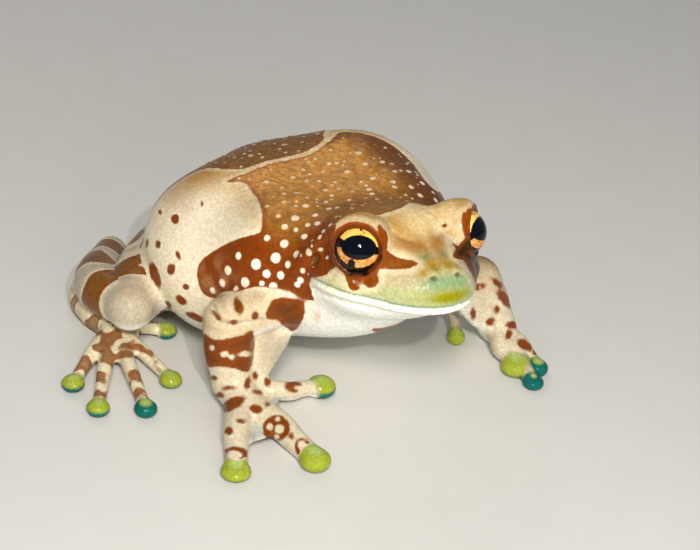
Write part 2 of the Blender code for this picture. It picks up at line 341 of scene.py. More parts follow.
def head_relief(head):
    """How far the lips, nostrils, eardrums and creases stand out of the head."""
    height, beside = above_mouth(head), folded(head)
    front = 1.0 - smoothstep(MOUTH_CORNER - 0.5, MOUTH_CORNER + 1.5, head[:, 1])
    relief = front * sum(rise * bump(height, middle, width) for rise, middle, width in LIP_RIDGES)
    relief = relief + 0.45 * bump(length(beside - NOSTRIL_SWELLING), 0.0, 1.0)
    relief = relief - 0.9 * bump(in_nostril(beside), 0.0, 0.5)
    drum = smoothstep(TYMPANUM_RADIUS + 0.3, TYMPANUM_RADIUS - 0.5, in_tympanum(beside))
    relief = relief - TYMPANUM_DEPTH * drum
    eye = length(beside - (EYE_SPREAD, 0, 0))
    behind = smoothstep(1.5, 3.5, beside[:, 1]) * smoothstep(4.5, 2.5, beside[:, 2])
    for reach in CREASES_BEHIND_EYE:
        relief = relief - FINE_DEPTH * bump(eye, reach, FINE_WIDTH) * behind
    return relief - CREASE_DEPTH * bump(BROW_CREASE.distance(beside), 0.0, CREASE_WIDTH)


# ------------------------------------------------------------------ the trunk
BODY_PIVOT = np.array((0.0, -12.0, 20.0))
BODY_TURN = turned(-8.0, 0.0, -4.0)  # the rump swings to its left
TRUNK_BALLS = (  # centre, radii, blend
    ((-13.0, 12.5, 18.0), (17.2, 20.0, 15.2), 6.0),  # right flank
    ((12.0, 11.0, 19.5), (15.5, 20.0, 16.0), 6.0),  # left flank
    ((-9.5, -4.0, 24.5), (13.5, 12.0, 11.5), 6.0),  # shoulders
    ((8.9, -4.0, 24.4), (12.6, 12.0, 11.3), 6.0),
    ((0, 13.0, 18.2), (18.0, 25.0, 15.6), 6.0),  # belly
    ((0, 30.5, 10.9), (14.5, 14.0, 11.9), 8.0),  # rump
    ((0, -8.0, 21.0), (13.0, 14.0, 9.5), 8.0),  # chest
)


def on_body(points):
    return (np.array(points, float) - BODY_PIVOT) @ BODY_TURN.T + BODY_PIVOT


def to_body(points):
    return (points - BODY_PIVOT) @ BODY_TURN + BODY_PIVOT


def trunk_shapes():
    return [(Ball(on_body(centre), radii, BODY_TURN), blend) for centre, radii, blend in TRUNK_BALLS]


# ------------------------------------------------------------------ the limbs: (x, y, z, radius) along each
UPPER_ARM = {
    "r": [(-12, -11, 21.5, 4.6), (-17.5, -9, 20.3, 4.3), (-23.8, -5.2, 16.5, 4.2)],
    "l": [(11, -12, 17, 5.0), (18.5, -12, 16.4, 4.4), (27, -13, 14.4, 4.0)],
}
FOREARM = {
    "r": [(-23.8, -5.2, 16.5, 4.2), (-24.3, -5.9, 11, 4.3), (-23.9, -7, 5, 3.2)],
    "l": [(27, -13, 14.4, 4.0), (29.6, -14.2, 9.8, 3.8), (31.6, -14.6, 5, 3.3)],
}
ELBOW_SKIN = {  # the fold inside the bent elbow
    "r": [(-16.3, -8, 12.4, 3.1), (-18.8, -8, 5.8, 1.9)],
    "l": [(23.0, -14, 12.4, 2.5), (27.2, -14.5, 6.8, 2.0)],
}
PALM = {
    "r": [(-23.9, -7, 4.2, 3.2), (-24.4, -10.4, 3.4, 3.3)],
    "l": [(31.6, -14.6, 4.2, 3.3), (31.6, -16.4, 3.4, 3.1)],
}
# A finger or toe: its middle knuckle and thickness there; its disc's centre, radius, half-height, and
# how much of the disc is blue-green.
Digit = namedtuple("Digit", "knuckle thick tip disc flat blue")
FINGERS = {
    "r": [
        Digit((-19.2, -3.0, 3.2), 1.6, (-16.4, 0.3), 2.2, 1.7, 0.5),
        Digit((-16.0, -12.2, 3.0), 1.75, (-8.1, -12.8), 2.75, 1.9, 0.5),
        Digit((-22.8, -19.7, 3.0), 2.5, (-22.2, -30.7), 2.75, 1.9, 0.15),
        Digit((-30.3, -18.4, 2.8), 2.4, (-35.3, -25.9), 2.65, 1.35, 0.25),
    ],
    "l": [
        Digit((27.5, -6.8, 5.2), 1.3, (24.9, -11.5), 1.75, 1.6, 0.1),
        Digit((28.2, -20.4, 3.2), 1.8, (27.8, -25.5), 2.7, 1.8, 0.2),
        Digit((29.8, -22.4, 3.0), 1.7, (27.8, -30.8), 2.0, 1.3, 1.6),
        Digit((32.2, -21.4, 3.2), 1.7, (31.5, -27.8), 2.0, 1.6, 1.4),
    ],
}
# Webs between fingers: how far they reach along each one, from its knuckle to its disc (below zero: back).
FINGER_WEBS = {
    "r": (((1, 0.0), (2, -0.25)), ((2, 0.2), (3, 0.35))),
    "l": (((1, 0.0), (2, 0.0)), ((2, 0.0), (3, 0.1))),
}
THIGH = {
    "r": [(-5, 35, 9.3, 8.2), (-20, 27, 8.5, 7.0), (-31, 16.5, 9.8, 4.2)],
    "l": [(13, 34, 9.3, 8.2), (26, 27.5, 8.8, 7.0), (36, 16.5, 9.8, 4.2)],
}
SHANK = {
    "r": [(-31, 16.5, 9.8, 4.0), (-30, 30, 7.6, 4.6), (-19, 44, 4.6, 3.1)],
    "l": [(36, 16.5, 9.8, 4.0), (35.5, 30, 7.6, 4.6), (25, 44, 4.6, 3.1)],
}
FOOT = {
    "r": [(-19, 44, 3.4, 2.9), (-29.5, 36.5, 2.5, 2.6), (-31.8, 29, 2.5, 2.7), (-31.2, 22.5, 2.6, 2.6)],
    "l": [(25, 44, 3.4, 2.9), (34.5, 38.5, 2.5, 2.6), (36.2, 32, 2.5, 2.7), (35.2, 26, 2.6, 2.6)],
}
TOES = {
    "r": [(-22.1, 18), (-30.2, 3.3), (-38.9, -2.4), (-46, 2), (-46, 11)],
    "l": [(26.8, 19.5), (33, 5.5), (39.5, 0), (44.5, 6.5), (47.5, 15.5)],
}
TOE_THICK, TOE_DISC, TOE_FLAT = 1.4, 2.1, 1.5
TOE_BLUE = (0.5, 0.3, 1.3, 0.5, 0.5)
TOE_ARCH = 0.7  # how much higher a toe's knuckle stands than its ends
TOE_WEB = -0.1  # how far along the toes the webs reach
DIGIT_START, DIGIT_WAIST, DIGIT_NECK = 1.2, 0.86, 0.8  # where a digit starts; how much thinner it gets
SETTLE = 0.25  # depth that a disc is pressed flat
WEB_HALF = 0.35


def disc_centre(digit):
    return np.array((*digit.tip, digit.flat - SETTLE))


def digit_shapes(root, digit):
    """The shapes of a finger or toe: a knuckle that swells a little, then a flat round disc."""
    root, knuckle, tip = np.array(root, float), np.array(digit.knuckle, float), disc_centre(digit)
    away, along = unit(knuckle - root), unit(tip - knuckle)
    waist = (knuckle + tip - along) / 2
    neck = tip - along * digit.disc * 0.6
    rows = [(*(root + away * DIGIT_START), digit.thick), (*knuckle, digit.thick),
            (*waist, digit.thick * DIGIT_WAIST), (*neck, digit.thick * DIGIT_NECK)]
    yaw = math.degrees(math.atan2(-along[0], along[1]))
    return [(Limb(rows, 4), 1.2), (Ball(tip, (digit.disc, digit.disc, digit.flat), turned(yaw, 0, 0)), 0.7)]


def webs(root, digits, pairs):
    """Webs from a root to places along pairs of digits."""
    found = []
    for pair in pairs:
        edge = []
        for number, share in pair:
            knuckle = np.array(digits[number].knuckle)
            edge.append(knuckle + share * (disc_centre(digits[number]) - knuckle))
        found.append((Web((root, *edge), WEB_HALF), 0.8))
    return found


def toes(side):
    sole = np.array(FOOT[side][-1][:3])
    made = []
    for tip, blue in zip(TOES[side], TOE_BLUE):
        knuckle = (sole + (*tip, TOE_FLAT)) / 2 + (0, 0, TOE_ARCH / 2)
        made.append(Digit(knuckle, TOE_THICK, tip, TOE_DISC, TOE_FLAT, blue))
    return made


def finger_webs(side):
    return webs(PALM[side][-1][:3], FINGERS[side], FINGER_WEBS[side])


def arm_shapes(side):
    shapes = [(Limb(rows[side]), 2.0) for rows in (UPPER_ARM, FOREARM, ELBOW_SKIN, PALM)]
    wrist, palm = (row[:3] for row in PALM[side])
    for root, digit in zip((wrist, wrist, palm, palm), FINGERS[side]):
        shapes += digit_shapes(root, digit)
    return shapes + finger_webs(side)


def leg_shapes(side):
    shapes = [(Limb(THIGH[side]), 2.0), (Limb(SHANK[side]), 0.8), (Limb(FOOT[side]), 0.8)]
    sole, digits = FOOT[side][-1][:3], toes(side)
    for digit in digits:
        shapes += digit_shapes(sole, digit)
    return shapes + webs(sole, digits, [((i, TOE_WEB), (i + 1, TOE_WEB)) for i in range(len(digits) - 1)])


# ------------------------------------------------------------------ the whole frog
PARTS = {  # shapes, and how softly the part runs into the others
    "trunk": (trunk_shapes(), 6.0),
    "head": (head_shapes(), 5.0),
    "arm_r": (arm_shapes("r"), 2.0),
    "arm_l": (arm_shapes("l"), 2.0),
    "leg_r": (leg_shapes("r"), 3.0),
    "leg_l": (leg_shapes("l"), 3.0),
}


def part_distance(name, points, fine):
    found = union(PARTS[name][0], points)
    if name == "head" and found.min() < REACH:
        head = to_head(points)
        for side in SIDES.values():
            found = carve_eye(found, head, side)
        if fine:
            found = found - head_relief(head)
    return found


def flesh(points, fine=True):
    """Distance to the whole skin, which the floor presses flat underneath."""
    found = np.full(len(points), FAR)
    for name, (_, blend) in PARTS.items():
        part = part_distance(name, points, fine)
        if part.min() < FAR:
            found = smooth_min(found, part, blend)
    return smooth_max(found, -points[:, 2], EDGE)


def in_clusters(points, work, size=6.0):
    """Runs work on clusters of neighbouring points, which skip the shapes that are far away."""
    _, cluster = np.unique(np.floor(points / size).astype(int), axis=0, return_inverse=True)
    order = np.argsort(cluster.ravel(), kind="stable")
    ends = np.flatnonzero(np.diff(cluster.ravel()[order])) + 1
    for chosen in np.split(order, ends):
        work(chosen)


def settle_on_skin(points, rounds):
    """Moves points onto the skin and returns them with the skin's normals."""
    points, normals = points.copy(), np.zeros_like(points)
    steps = np.eye(3) * 0.04

    def work(chosen):
        here = points[chosen]
        for _ in range(rounds):
            gradient = np.stack([(flesh(here + s) - flesh(here - s)) / (2 * s.max()) for s in steps], 1)
            steep = np.maximum((gradient ** 2).sum(1), 0.3)
            here = here - np.clip(flesh(here) / steep, -1.0, 1.0)[:, None] * gradient
        points[chosen] = here
        normals[chosen] = gradient / np.maximum(length(gradient), 1e-6)[:, None]

    in_clusters(points, work)
    return points, normals


def cast(pixels):
    """Where the skin lies behind pixels of the photograph."""
    rays = sight(pixels)
    points = EYE_POINT + rays * (CAMERA_DISTANCE * 0.65)
    for _ in range(60):
        points = points + rays * np.clip(flesh(points), -5.0, 20.0)[:, None] * 0.85
    return points


# ------------------------------------------------------------------ from grid to mesh
CORNERS = np.array([(i, j, k) for i in (0, 1) for j in (0, 1) for k in (0, 1)])


def lattice(axes):
    return np.stack(np.meshgrid(*axes, indexing="ij"), -1).reshape(-1, 3)


def fill_grid(low, high):
    """Distances on a grid, worked out only in blocks that the skin may cross."""
    count = (np.ceil((high - low) / STEP / BLOCK).astype(int) + 1) * BLOCK
    values = np.full(count, FAR, np.float32)
    inner = lattice([np.arange(BLOCK)] * 3) * STEP
    half = (BLOCK - 1) * STEP / 2
    tests = np.vstack(([(half, half, half)], CORNERS * half * 2))
    for corner in lattice([np.arange(0, n, BLOCK) for n in count]):
        place = tuple(slice(c, c + BLOCK) for c in corner)
        near = flesh(low + corner * STEP + tests, fine=False)
        if np.abs(near).min() > half * 1.4:
            values[place] = FAR * np.sign(near[0])
        else:
            values[place] = flesh(low + corner * STEP + inner, fine=False).reshape(BLOCK, BLOCK, BLOCK)
    return values


def surface_of(values, low):
    """Points and four-sided faces where the grid's values change sign."""
    inside = values < 0
    size = np.array(values.shape)
    held = np.zeros(size - 1, np.int8)
    for corner in CORNERS:
        held += inside[tuple(slice(c, n - 1 + c) for c, n in zip(corner, size))]
    crossed = (held > 0) & (held < 8)
    cells = np.argwhere(crossed)
    number = np.full(crossed.shape, -1)
    number[crossed] = np.arange(len(cells))
    total, crossings = np.zeros((len(cells), 3)), np.zeros(len(cells))
    for a in CORNERS:
        for step in np.eye(3, dtype=int)[a == 0]:
            at_a, at_b = (values[tuple((cells + c).T)].astype(float) for c in (a, a + step))
            cut = (at_a < 0) != (at_b < 0)
            share = at_a[cut] / (at_a[cut] - at_b[cut])
            total[cut] += a + share[:, None] * step
            crossings[cut] += 1
    points = low + STEP * (cells + total / crossings[:, None])
    faces = []
    for axis in range(3):
        first, second = np.eye(3, dtype=int)[[(axis + 1) % 3, (axis + 2) % 3]]
        here = tuple(slice(0, size[i] - 1) if i == axis else slice(1, size[i] - 1) for i in range(3))
        beyond = tuple(slice(1, size[i]) if i == axis else slice(1, size[i] - 1) for i in range(3))
        for leaving in (True, False):
            edges = np.argwhere((inside[here] == leaving) & (inside[beyond] != leaving)) + first + second
            around = (first + second, second, 0 * first, first)
            quads = np.stack([number[tuple((edges - step).T)] for step in around], 1)
            faces.append(quads if leaving else quads[:, ::-1])
    return points, np.concatenate(faces).tolist()


def divided(points, faces, wanted):
    """The points and faces with the wanted faces divided into four."""
    bm = bmesh.new()
    corners = [bm.verts.new(point) for point in points.tolist()]
    for face in faces:
        bm.faces.new([corners[index] for index in face])
    bm.faces.ensure_lookup_table()
    edges = {edge for index in np.flatnonzero(wanted) for edge in bm.faces[index].edges}
    bmesh.ops.subdivide_edges(bm, edges=list(edges), cuts=1, use_grid_fill=True)
    bm.verts.index_update()
    points = np.array([vert.co[:] for vert in bm.verts])
    faces = [[vert.index for vert in face.verts] for face in bm.faces]
    bm.free()
    return points, faces


def middles_of(points, faces):
    return np.array([points[face].mean(0) for face in faces])


def near_features(head):
    """Which points lie at the mouth, the lids or the nostrils."""
    found = (np.abs(above_mouth(head)) < 0.9) & (head[:, 1] < MOUTH_CORNER + 1.0) & (length(head) < 22.0)
    for side in SIDES.values():
        radius, angle, _, _ = eye_angles(head, side)
        found |= (radius < LID_RADIUS + 1.2) & (angle < math.radians(88))
        found |= length(head - mirrored(NOSTRIL, side)) < 1.8
    return found


def skin_shape():
    """The skin's points, faces and normals: finer where the markings are small, finest at the features."""
    reach = np.array([(shape.low, shape.high) for shapes, _ in PARTS.values() for shape, _ in shapes])
    low = reach[:, 0].min(0) - 2.0
    low[2] = -1.3 * STEP
    points, faces = surface_of(fill_grid(low, reach[:, 1].max(0) + 2.0), low)
    points, normals = settle_on_skin(points, 2)
    middle = middles_of(points, faces)
    upper = (middle[:, 2] > 14.0) & (to_body(middle)[:, 1] < 30)
    points, faces = divided(points, faces, upper | (middle[:, 1] < -20))
    points, normals = settle_on_skin(points, 1)
    points, faces = divided(points, faces, near_features(to_head(middles_of(points, faces))))
    points, normals = settle_on_skin(points, 2)
    return points, faces, normals


# ------------------------------------------------------------------ colours
def colour(code):
    """A linear colour from a six-digit sRGB code."""
    share = np.array([int(code[i:i + 2], 16) for i in (0, 2, 4)]) / 255
    return np.where(share < 0.04045, share / 12.92, ((share + 0.055) / 1.055) ** 2.4)


CREAM = colour("E6D0A2")
FLANK = colour("EADABC")
BELLY = colour("F6F7EE")
GOLDEN_AND_SHADE = colour("BC8228")
LINE = colour("CFA868")
ARM = colour("B6A88F")
ARM_TOP = colour("B0946C")
# The left arm's brown top, partly painted shade beside the head.
LEFT_ARM_TOP_AND_SHADE = colour("80582A")
WEB_SKIN = colour("8496A0")
CROWN = colour("E6CA90")
# Tan of the brows and lid folds, also used as painted shade in the crease inside the right brow.
BROW_TAN_AND_SHADE = colour("C0964E")
TAN = colour("9A6824")
CHEEK = colour("BEAE84")
MINT = colour("889F70")
GREY_GREEN = colour("747A48")
OLIVE = colour("8B870A")
MUSTARD = colour("A87C04")
UPPER_LIP = colour("ACB27B")
LIP_LINE = colour("80AE90")
LIP = colour("E8EAD4")
DISC = colour("949F30")
DISC_MIDDLE = colour("9CB060")
TEAL = colour("0A5E54")
RUST = colour("823802")
RUST_EDGE = colour("8E4004")
# The limbs' brown, also used as painted shade on the left side of the back.
LIMB_BROWN_AND_SHADE = colour("64350F")
FOOT_SKIN = colour("CBBF9C")
FOOT_BROWN = colour("A08258")
EARTH = colour("D0903A")
NAPE = colour("986826")
# Painted shade in the back's furrows and the arms' folds, and random darker mottling in the brown.
CREASE_SHADE_AND_MOTTLE = colour("55330F")
UMBER = colour("8A5A1A")
SHADED = colour("2E1C08")
CHEST_SPOT = colour("DDA468")
LOBE_TAN = colour("C08E58")
DRUM = colour("604012")
BLACK = colour("0A0807")


# ------------------------------------------------------------------ markings on flat charts
def depth_in(outline, points, parts=4):
    """How far inside a smooth closed outline flat points lie; less than zero is outside."""
    curve = curve_through(outline, parts, closed=True)
    x, y = points.T
    nearest, inside = np.full(len(points), FAR ** 2), np.zeros(len(points), bool)
    for (ax, ay), (bx, by) in zip(curve, np.roll(curve, -1, 0)):
        dx, dy = bx - ax, by - ay
        share = np.clip(((x - ax) * dx + (y - ay) * dy) / max(dx * dx + dy * dy, 1e-9), 0.0, 1.0)
        nearest = np.minimum(nearest, (x - ax - share * dx) ** 2 + (y - ay - share * dy) ** 2)
        inside ^= ((ay > y) != (by > y)) & (x < ax + (y - ay) * dx / (by - ay if by != ay else 1e-9))
    return np.sqrt(nearest) * np.where(inside, 1.0, -1.0)


def depth_in_ovals(ovals, points):
    """The same for ovals: (x, y, half-width, half-height, degrees turned) rows."""
    found = np.full(len(points), -FAR)
    for x, y, wide, high, turn in ovals:
        cosine, sine = math.cos(math.radians(turn)), math.sin(math.radians(turn))
        dx, dy = points[:, 0] - x, points[:, 1] - y
        away = np.hypot((dx * cosine + dy * sine) / wide, (dy * cosine - dx * sine) / high)
        found = np.maximum(found, (1.0 - away) * min(wide, high))
    return found


CHART_RADIUS = 21.0
SPINE_HEIGHT = 14.0
RUMP_START = 26.0
RUMP_RADIUS = 17.0


def body_chart(points):
    """Millimetres round the trunk from the spine (+ is left), and along it from the pivot to the rear."""
    x, y, z = to_body(points).T
    over, high = np.maximum(y - RUMP_START, 0.0), z - SPINE_HEIGHT
    reach = np.where(high > 0, np.hypot(over, high), over + high)
    along = np.where(over > 0, RUMP_START + RUMP_RADIUS * np.arctan2(over, high), y)
    return np.stack((CHART_RADIUS * np.arctan2(x, reach), along), 1)


SADDLE = (
    (-13.9, 12.7), (-9.8, 13.2), (-7, 13.8), (-4.2, 13.7), (-2.1, 13.2), (1.4, 12.6), (4.5, 13.4),
    (7.6, 15.2), (10.8, 18), (12.7, 16), (14.8, 11.3), (16.7, 4.3), (15.8, -3.2), (17.5, -5.2), (20.6, -1.8),
    (24, 1.3), (27.2, 0.8), (28.8, -2.5), (27, -7.5), (24, -12), (21, -16), (18, -20), (0, -26), (-16, -21),
    (-19.2, -17.5), (-22, -14), (-25.4, -9), (-28, -5), (-28.6, -1.3), (-27.9, 0.1), (-26.2, 1.3),
    (-24.6, 1.6), (-23, 0.8), (-20.6, -1.3), (-18, -4.1), (-15.9, -6.4), (-14.9, -6.1), (-13.5, -3.3),
    (-12.6, 0.8), (-12.1, 6.3), (-12, 10.4),
)
REAR_PATCH = (
    (-12.5, 17.3), (-10, 14.9), (-7, 15.2), (-4.2, 15.1), (-2.1, 14.6), (1.4, 14.1), (4.5, 14.9), (6.8, 16.4),
    (8.4, 19.4), (11, 22.5), (16, 24), (22, 25), (27, 27), (28, 34), (20, 42), (8, 47), (-8, 47), (-20, 42),
    (-28, 34), (-27, 25), (-20.1, 23.3), (-15.2, 22),
)
# Ovals: middle, half-width, half-height, degrees turned. The lower spots are on the chart, on both sides; the
# others are in pixels of the photograph, and the left flank has the right one's.
LOWER_SPOTS = ((-36, 14, 1, 0.8, 0), (-33.5, 19.5, 0.9, 0.7, 0), (-38.5, 6, 0.9, 0.7, 0),
               (-30, 22.5, 1, 0.8, 0))
FLANK_SPOTS = (
    (175, 219, 4.2, 4.8, 0), (160, 212, 1.8, 2.4, 0), (158, 244, 2.8, 4.2, 0), (147, 243, 1.6, 4, 0),
    (178, 255, 4.8, 2.4, 65), (171, 269, 4, 6, 0), (155, 275, 14, 4.6, 72), (186, 287, 3.4, 3, 20),
    (181, 300, 6.6, 3.8, 40), (195, 317, 10, 3.4, 25), (168.5, 305, 4.8, 2.2, 60), (202, 204, 1.5, 2.6, 0),
)
CHEST_OVAL = ((317, 316, 3.5, 6, 0),)
LOBE_MIDDLE, LOBE_SIZE = (25.5, -2.5), (3.0, 4.0)  # the lighter part of the saddle's lobe
# The left arm's brown top is partly painted shade beside the head.
LEFT_ARM_TOP_EDGE = (300, 284)  # rows of pixels where the left arm's brown top begins and is full
FURROWS = ((2.2, 4.0, 1.0), (1.1, 2.0, 0.7))  # width, length and depth of the long furrows and the fine ones


def facing_camera(normals):
    """Which points lie on the side that the photograph shows."""
    return normals @ FORWARD < 0


def furrows(chart):
    """Furrows that run along the back: 1 at the bottom of the deepest, 0 between them."""
    found = np.zeros(len(chart))
    for wide, long, depth in FURROWS:
        rows = np.column_stack((chart / (wide, long), np.full(len(chart), 3.0)))
        ridge = np.abs(np.array([noise.noise(row) for row in rows.tolist()]))
        found = np.maximum(found, depth * smoothstep(0.2, 0.0, ridge))
    return found


def flank_marks(points, normals):
    """How deep in the flank's spots points lie; the left flank has the mirror image of the right one's."""
    body, facing = to_body(points), normals @ BODY_TURN
    fold = np.where(body[:, :1] > 0, -1, 1) * (1, 0, 0) + (0, 1, 1)
    spots = depth_in_ovals(FLANK_SPOTS, pixels_of(on_body(body * fold))) * PIXEL
    return np.where((facing * fold) @ (-FORWARD @ BODY_TURN) > 0.0, spots, -FAR)


def paint(colours, new, weight):
    colours += (new - colours) * np.clip(weight, 0.0, 1.0)[:, None]


def trunk_brown(points, normals, chart):
    """How deep in the brown each point of the trunk lies."""
    brown = np.maximum(depth_in(SADDLE, chart), depth_in(REAR_PATCH, chart))
    brown = np.maximum(brown, flank_marks(points, normals))
    for side in SIDES.values():
        brown = np.maximum(brown, depth_in_ovals(LOWER_SPOTS, chart * (side, 1)))
    brown = np.minimum(brown, (normals[:, 1] + 0.75) * 10.0)  # the chest has none
    near_arm = (points[:, 0] < 0) & facing_camera(normals)
    patch = depth_in(SHOULDER_PATCH, pixels_of(points)) * PIXEL
    return np.maximum(brown, np.where(near_arm, patch, -FAR))


def trunk_light(points, normals, round_by, along):
    """Cream flanks; golden over the hips, partly painted shade; a white belly; and the left shoulder's brown
    top, partly painted shade beside the head.
    """
    light, pixels = np.tile(CREAM, (len(points), 1)), pixels_of(points)
    paint(light, FLANK, smoothstep(12.0, 20.0, round_by))
    # The upper flanks towards the rear are painted golden: partly the skin's tone, partly painted shade where
    # they turn from the light.
    paint(light, GOLDEN_AND_SHADE, smoothstep(27.0, 14.0, round_by) * smoothstep(8.0, 20.0, along))
    paint(light, BELLY, np.maximum(smoothstep(32.0, 44.0, round_by), smoothstep(-0.2, -0.7, normals[:, 2])))
    paint(light, BELLY, smoothstep(-0.35, -0.75, normals[:, 1]) * smoothstep(2.0, -4.0, along))
    spot = smoothstep(-0.3, 0.4, depth_in_ovals(CHEST_OVAL, pixels) * PIXEL)
    paint(light, CHEST_SPOT, 0.8 * spot * facing_camera(normals))
    left_arm = smoothstep(4.0, 0.5, Limb(UPPER_ARM["l"]).distance(points))
    # The left shoulder's top is painted brown: partly its own tone, partly painted shade beside the head.
    paint(light, LEFT_ARM_TOP_AND_SHADE, 0.9 * left_arm * smoothstep(*LEFT_ARM_TOP_EDGE, pixels[:, 1]))
    return light


def trunk_marks(points, normals):
    """How deep in the brown each point of the trunk lies, and its light and dark colours."""
    chart = body_chart(points)
    round_by, along = np.abs(chart[:, 0]), chart[:, 1]
    light = trunk_light(points, normals, round_by, along)
    dark = np.tile(RUST, (len(points), 1))
    middle = smoothstep(17.0, 10.0, round_by) * smoothstep(-16.0, -4.0, along)
    paint(light, LINE, middle)
    paint(dark, EARTH, middle)
    paint(dark, NAPE, middle * smoothstep(-2.0, -9.0, along))
    # Painted shade: the left side of the back, turned from the light, is painted a darker brown.
    paint(dark, LIMB_BROWN_AND_SHADE, 0.8 * smoothstep(7.0, 13.0, chart[:, 0]) * smoothstep(22.0, 17.0, chart[:, 0]))
    paint(dark, UMBER, smoothstep(13.0, 15.0, along))
    # Painted shade: the brown darkens in the furrows along the back.
    furrowed = smoothstep(19.0, 13.0, round_by) * smoothstep(-22.0, -14.0, along)
    paint(dark, CREASE_SHADE_AND_MOTTLE, 0.28 * furrows(chart) * furrowed)
    lobe = np.exp(-(((np.column_stack((round_by, along)) - LOBE_MIDDLE) / LOBE_SIZE) ** 2).sum(1))
    paint(dark, LOBE_TAN, 0.75 * lobe * smoothstep(-0.3, 0.5, noise_at(points, 2.5)))
    return trunk_brown(points, normals, chart), light, dark


# Outlines on the head's right side, in pixels of the photograph; the left side mirrors them.
BEHIND_EYE = (
    (336, 226), (333, 240), (336, 256), (342, 267), (345, 272), (341, 269), (336, 267), (331, 270),
    (326, 275), (318, 277), (311, 280), (309, 286), (315, 293), (323, 297), (314, 300), (298, 300),
    (280, 270), (290, 225), (318, 210), (330, 216),
)
CHEEK_BLOTCH = (
    (336, 256), (341, 268), (346, 279), (349, 288), (355, 291), (360, 288), (357, 285), (353, 282),
    (354, 279), (360, 279), (364, 285), (370, 288), (376, 286), (379, 281), (376, 273), (372, 269),
    (376, 262), (360, 258),
)
STRIPE = ((376, 254), (385, 249), (390, 253), (398, 257), (406, 259), (414, 261), (418, 264), (410, 268),
          (400, 269), (390, 269), (378, 268))
BEFORE_EYE = ((378, 226), (384, 229), (388, 236), (388, 243), (386, 252), (378, 254))
# The left lore's outline: partly its own dark brown, partly painted shade on the side of the snout turned
# from the light.
LEFT_LORE_AND_SHADE = (  # on the left side only
    (446, 236), (452, 239), (460, 243), (466, 232), (471, 238), (474, 250), (480, 254), (486, 268),
    (484, 282), (476, 288), (472, 280), (468, 272), (464, 265), (459, 258), (453, 249), (449, 242),
)
LEFT_LID = ((466, 212), (470, 208), (472, 213), (471, 222), (468, 227), (466, 220))
CROWN_SPOT = ((444.5, 225.5, 3.0, 1.8, -20),)
LEFT_OF = 2.0  # the marks of the left side only start this far across
# Across, and how far back the crown's cream ends.
NAPE_LINE = ((-14, 4.2), (-9, 4.2), (-4, 3.6), (-2, 3.6), (0.4, 4.2), (2.2, 5.5), (4.4, 7.5), (9, 9.5),
             (14, 11))
RIM_BELOW, RIM_ABOVE = 4.0, 1.0  # how many degrees outside the lids' opening their black edge reaches
RING_BELOW, RING_ABOVE = 7.0, 3.5  # how many degrees the brown ring round the lids reaches
RING_REACH = 6.3  # the ring's greatest distance from the middle of the eye
SNOUT_TINTS = (  # soft blobs on both sides: colour, strength, centre and radii
    (TAN, 0.6, (1.0, -8.5, -0.5), (5.0, 1.8, 2.0)),
    (CREAM, 0.8, (5.7, -5.2, 0.4), (1.6, 1.2, 1.0)),
    (GREY_GREEN, 0.95, (2.2, -7.2, -0.1), (1.7, 1.1, 1.0)),
    (OLIVE, 0.5, (0.0, -9.6, -1.0), (3.0, 1.6, 1.2)),
    (MUSTARD, 0.9, (3.7, -9.4, -2.0), (0.9, 1.3, 1.1)),
    (MUSTARD, 1.2, (1.4, -9.4, -1.3), (0.9, 1.4, 0.8)),
    (MINT, 1.2, (1.2, -11.9, -3.7), (4.2, 3.0, 1.8)),
)
LIP_TINTS = ((OLIVE, 1.3, (0.2, -12.8, -5.6), (4.4, 2.8, 1.1)),)


def paint_blobs(colours, places, tints):
    for new, strength, centre, radii in tints:
        paint(colours, new, strength * np.exp(-(((places - centre) / radii) ** 2).sum(1)))


def head_brown(points, head):
    """How deep in the head's brown outlines points lie, and how deep in the left side's dark lore, which is
    partly brown skin and partly painted shade.
    """
    on_right, pixels = pixels_of(on_head(folded(head) * (-1, 1, 1))), pixels_of(points)
    brown = np.full(len(points), -FAR)
    for outline in (BEHIND_EYE, CHEEK_BLOTCH, STRIPE, BEFORE_EYE):
        brown = np.maximum(brown, depth_in(outline, on_right) * PIXEL)
    left_only = np.maximum(depth_in(LEFT_LID, pixels), depth_in_ovals(CROWN_SPOT, pixels)) * PIXEL
    brown = np.where(head[:, 0] > LEFT_OF, np.maximum(brown, left_only), brown)
    lore_and_shade = np.where(head[:, 0] > LEFT_OF, depth_in(LEFT_LORE_AND_SHADE, pixels) * PIXEL, -FAR)
    across, back = zip(*NAPE_LINE)
    nape = np.minimum(head[:, 1] - np.interp(head[:, 0], across, back), head[:, 2] + 1.0)
    return np.maximum(np.maximum(brown, lore_and_shade - 0.4), nape), lore_and_shade


def lid_marks(head, side):
    """Round an eye: depth in the brown ring, and how black the rim and how tan the fold above it are."""
    radius, angle, opening, high = eye_angles(head, side)
    beyond = np.degrees(angle - opening)
    ring = RING_BELOW + (RING_ABOVE - RING_BELOW) * smoothstep(-0.4, 0.4, high)
    depth = np.minimum((ring - beyond) * math.radians(LID_RADIUS), RING_REACH - radius)
    rim = RIM_BELOW + (RIM_ABOVE - RIM_BELOW) * smoothstep(-0.4, 0.6, high)
    black = smoothstep(5.3, 5.0, radius) * smoothstep(rim + 1.5, rim - 1.0, beyond)
    fold = smoothstep(7.5, 6.5, radius) * smoothstep(RING_ABOVE, RING_ABOVE + 3.0, beyond) * (high > 0)
    return depth, black, fold


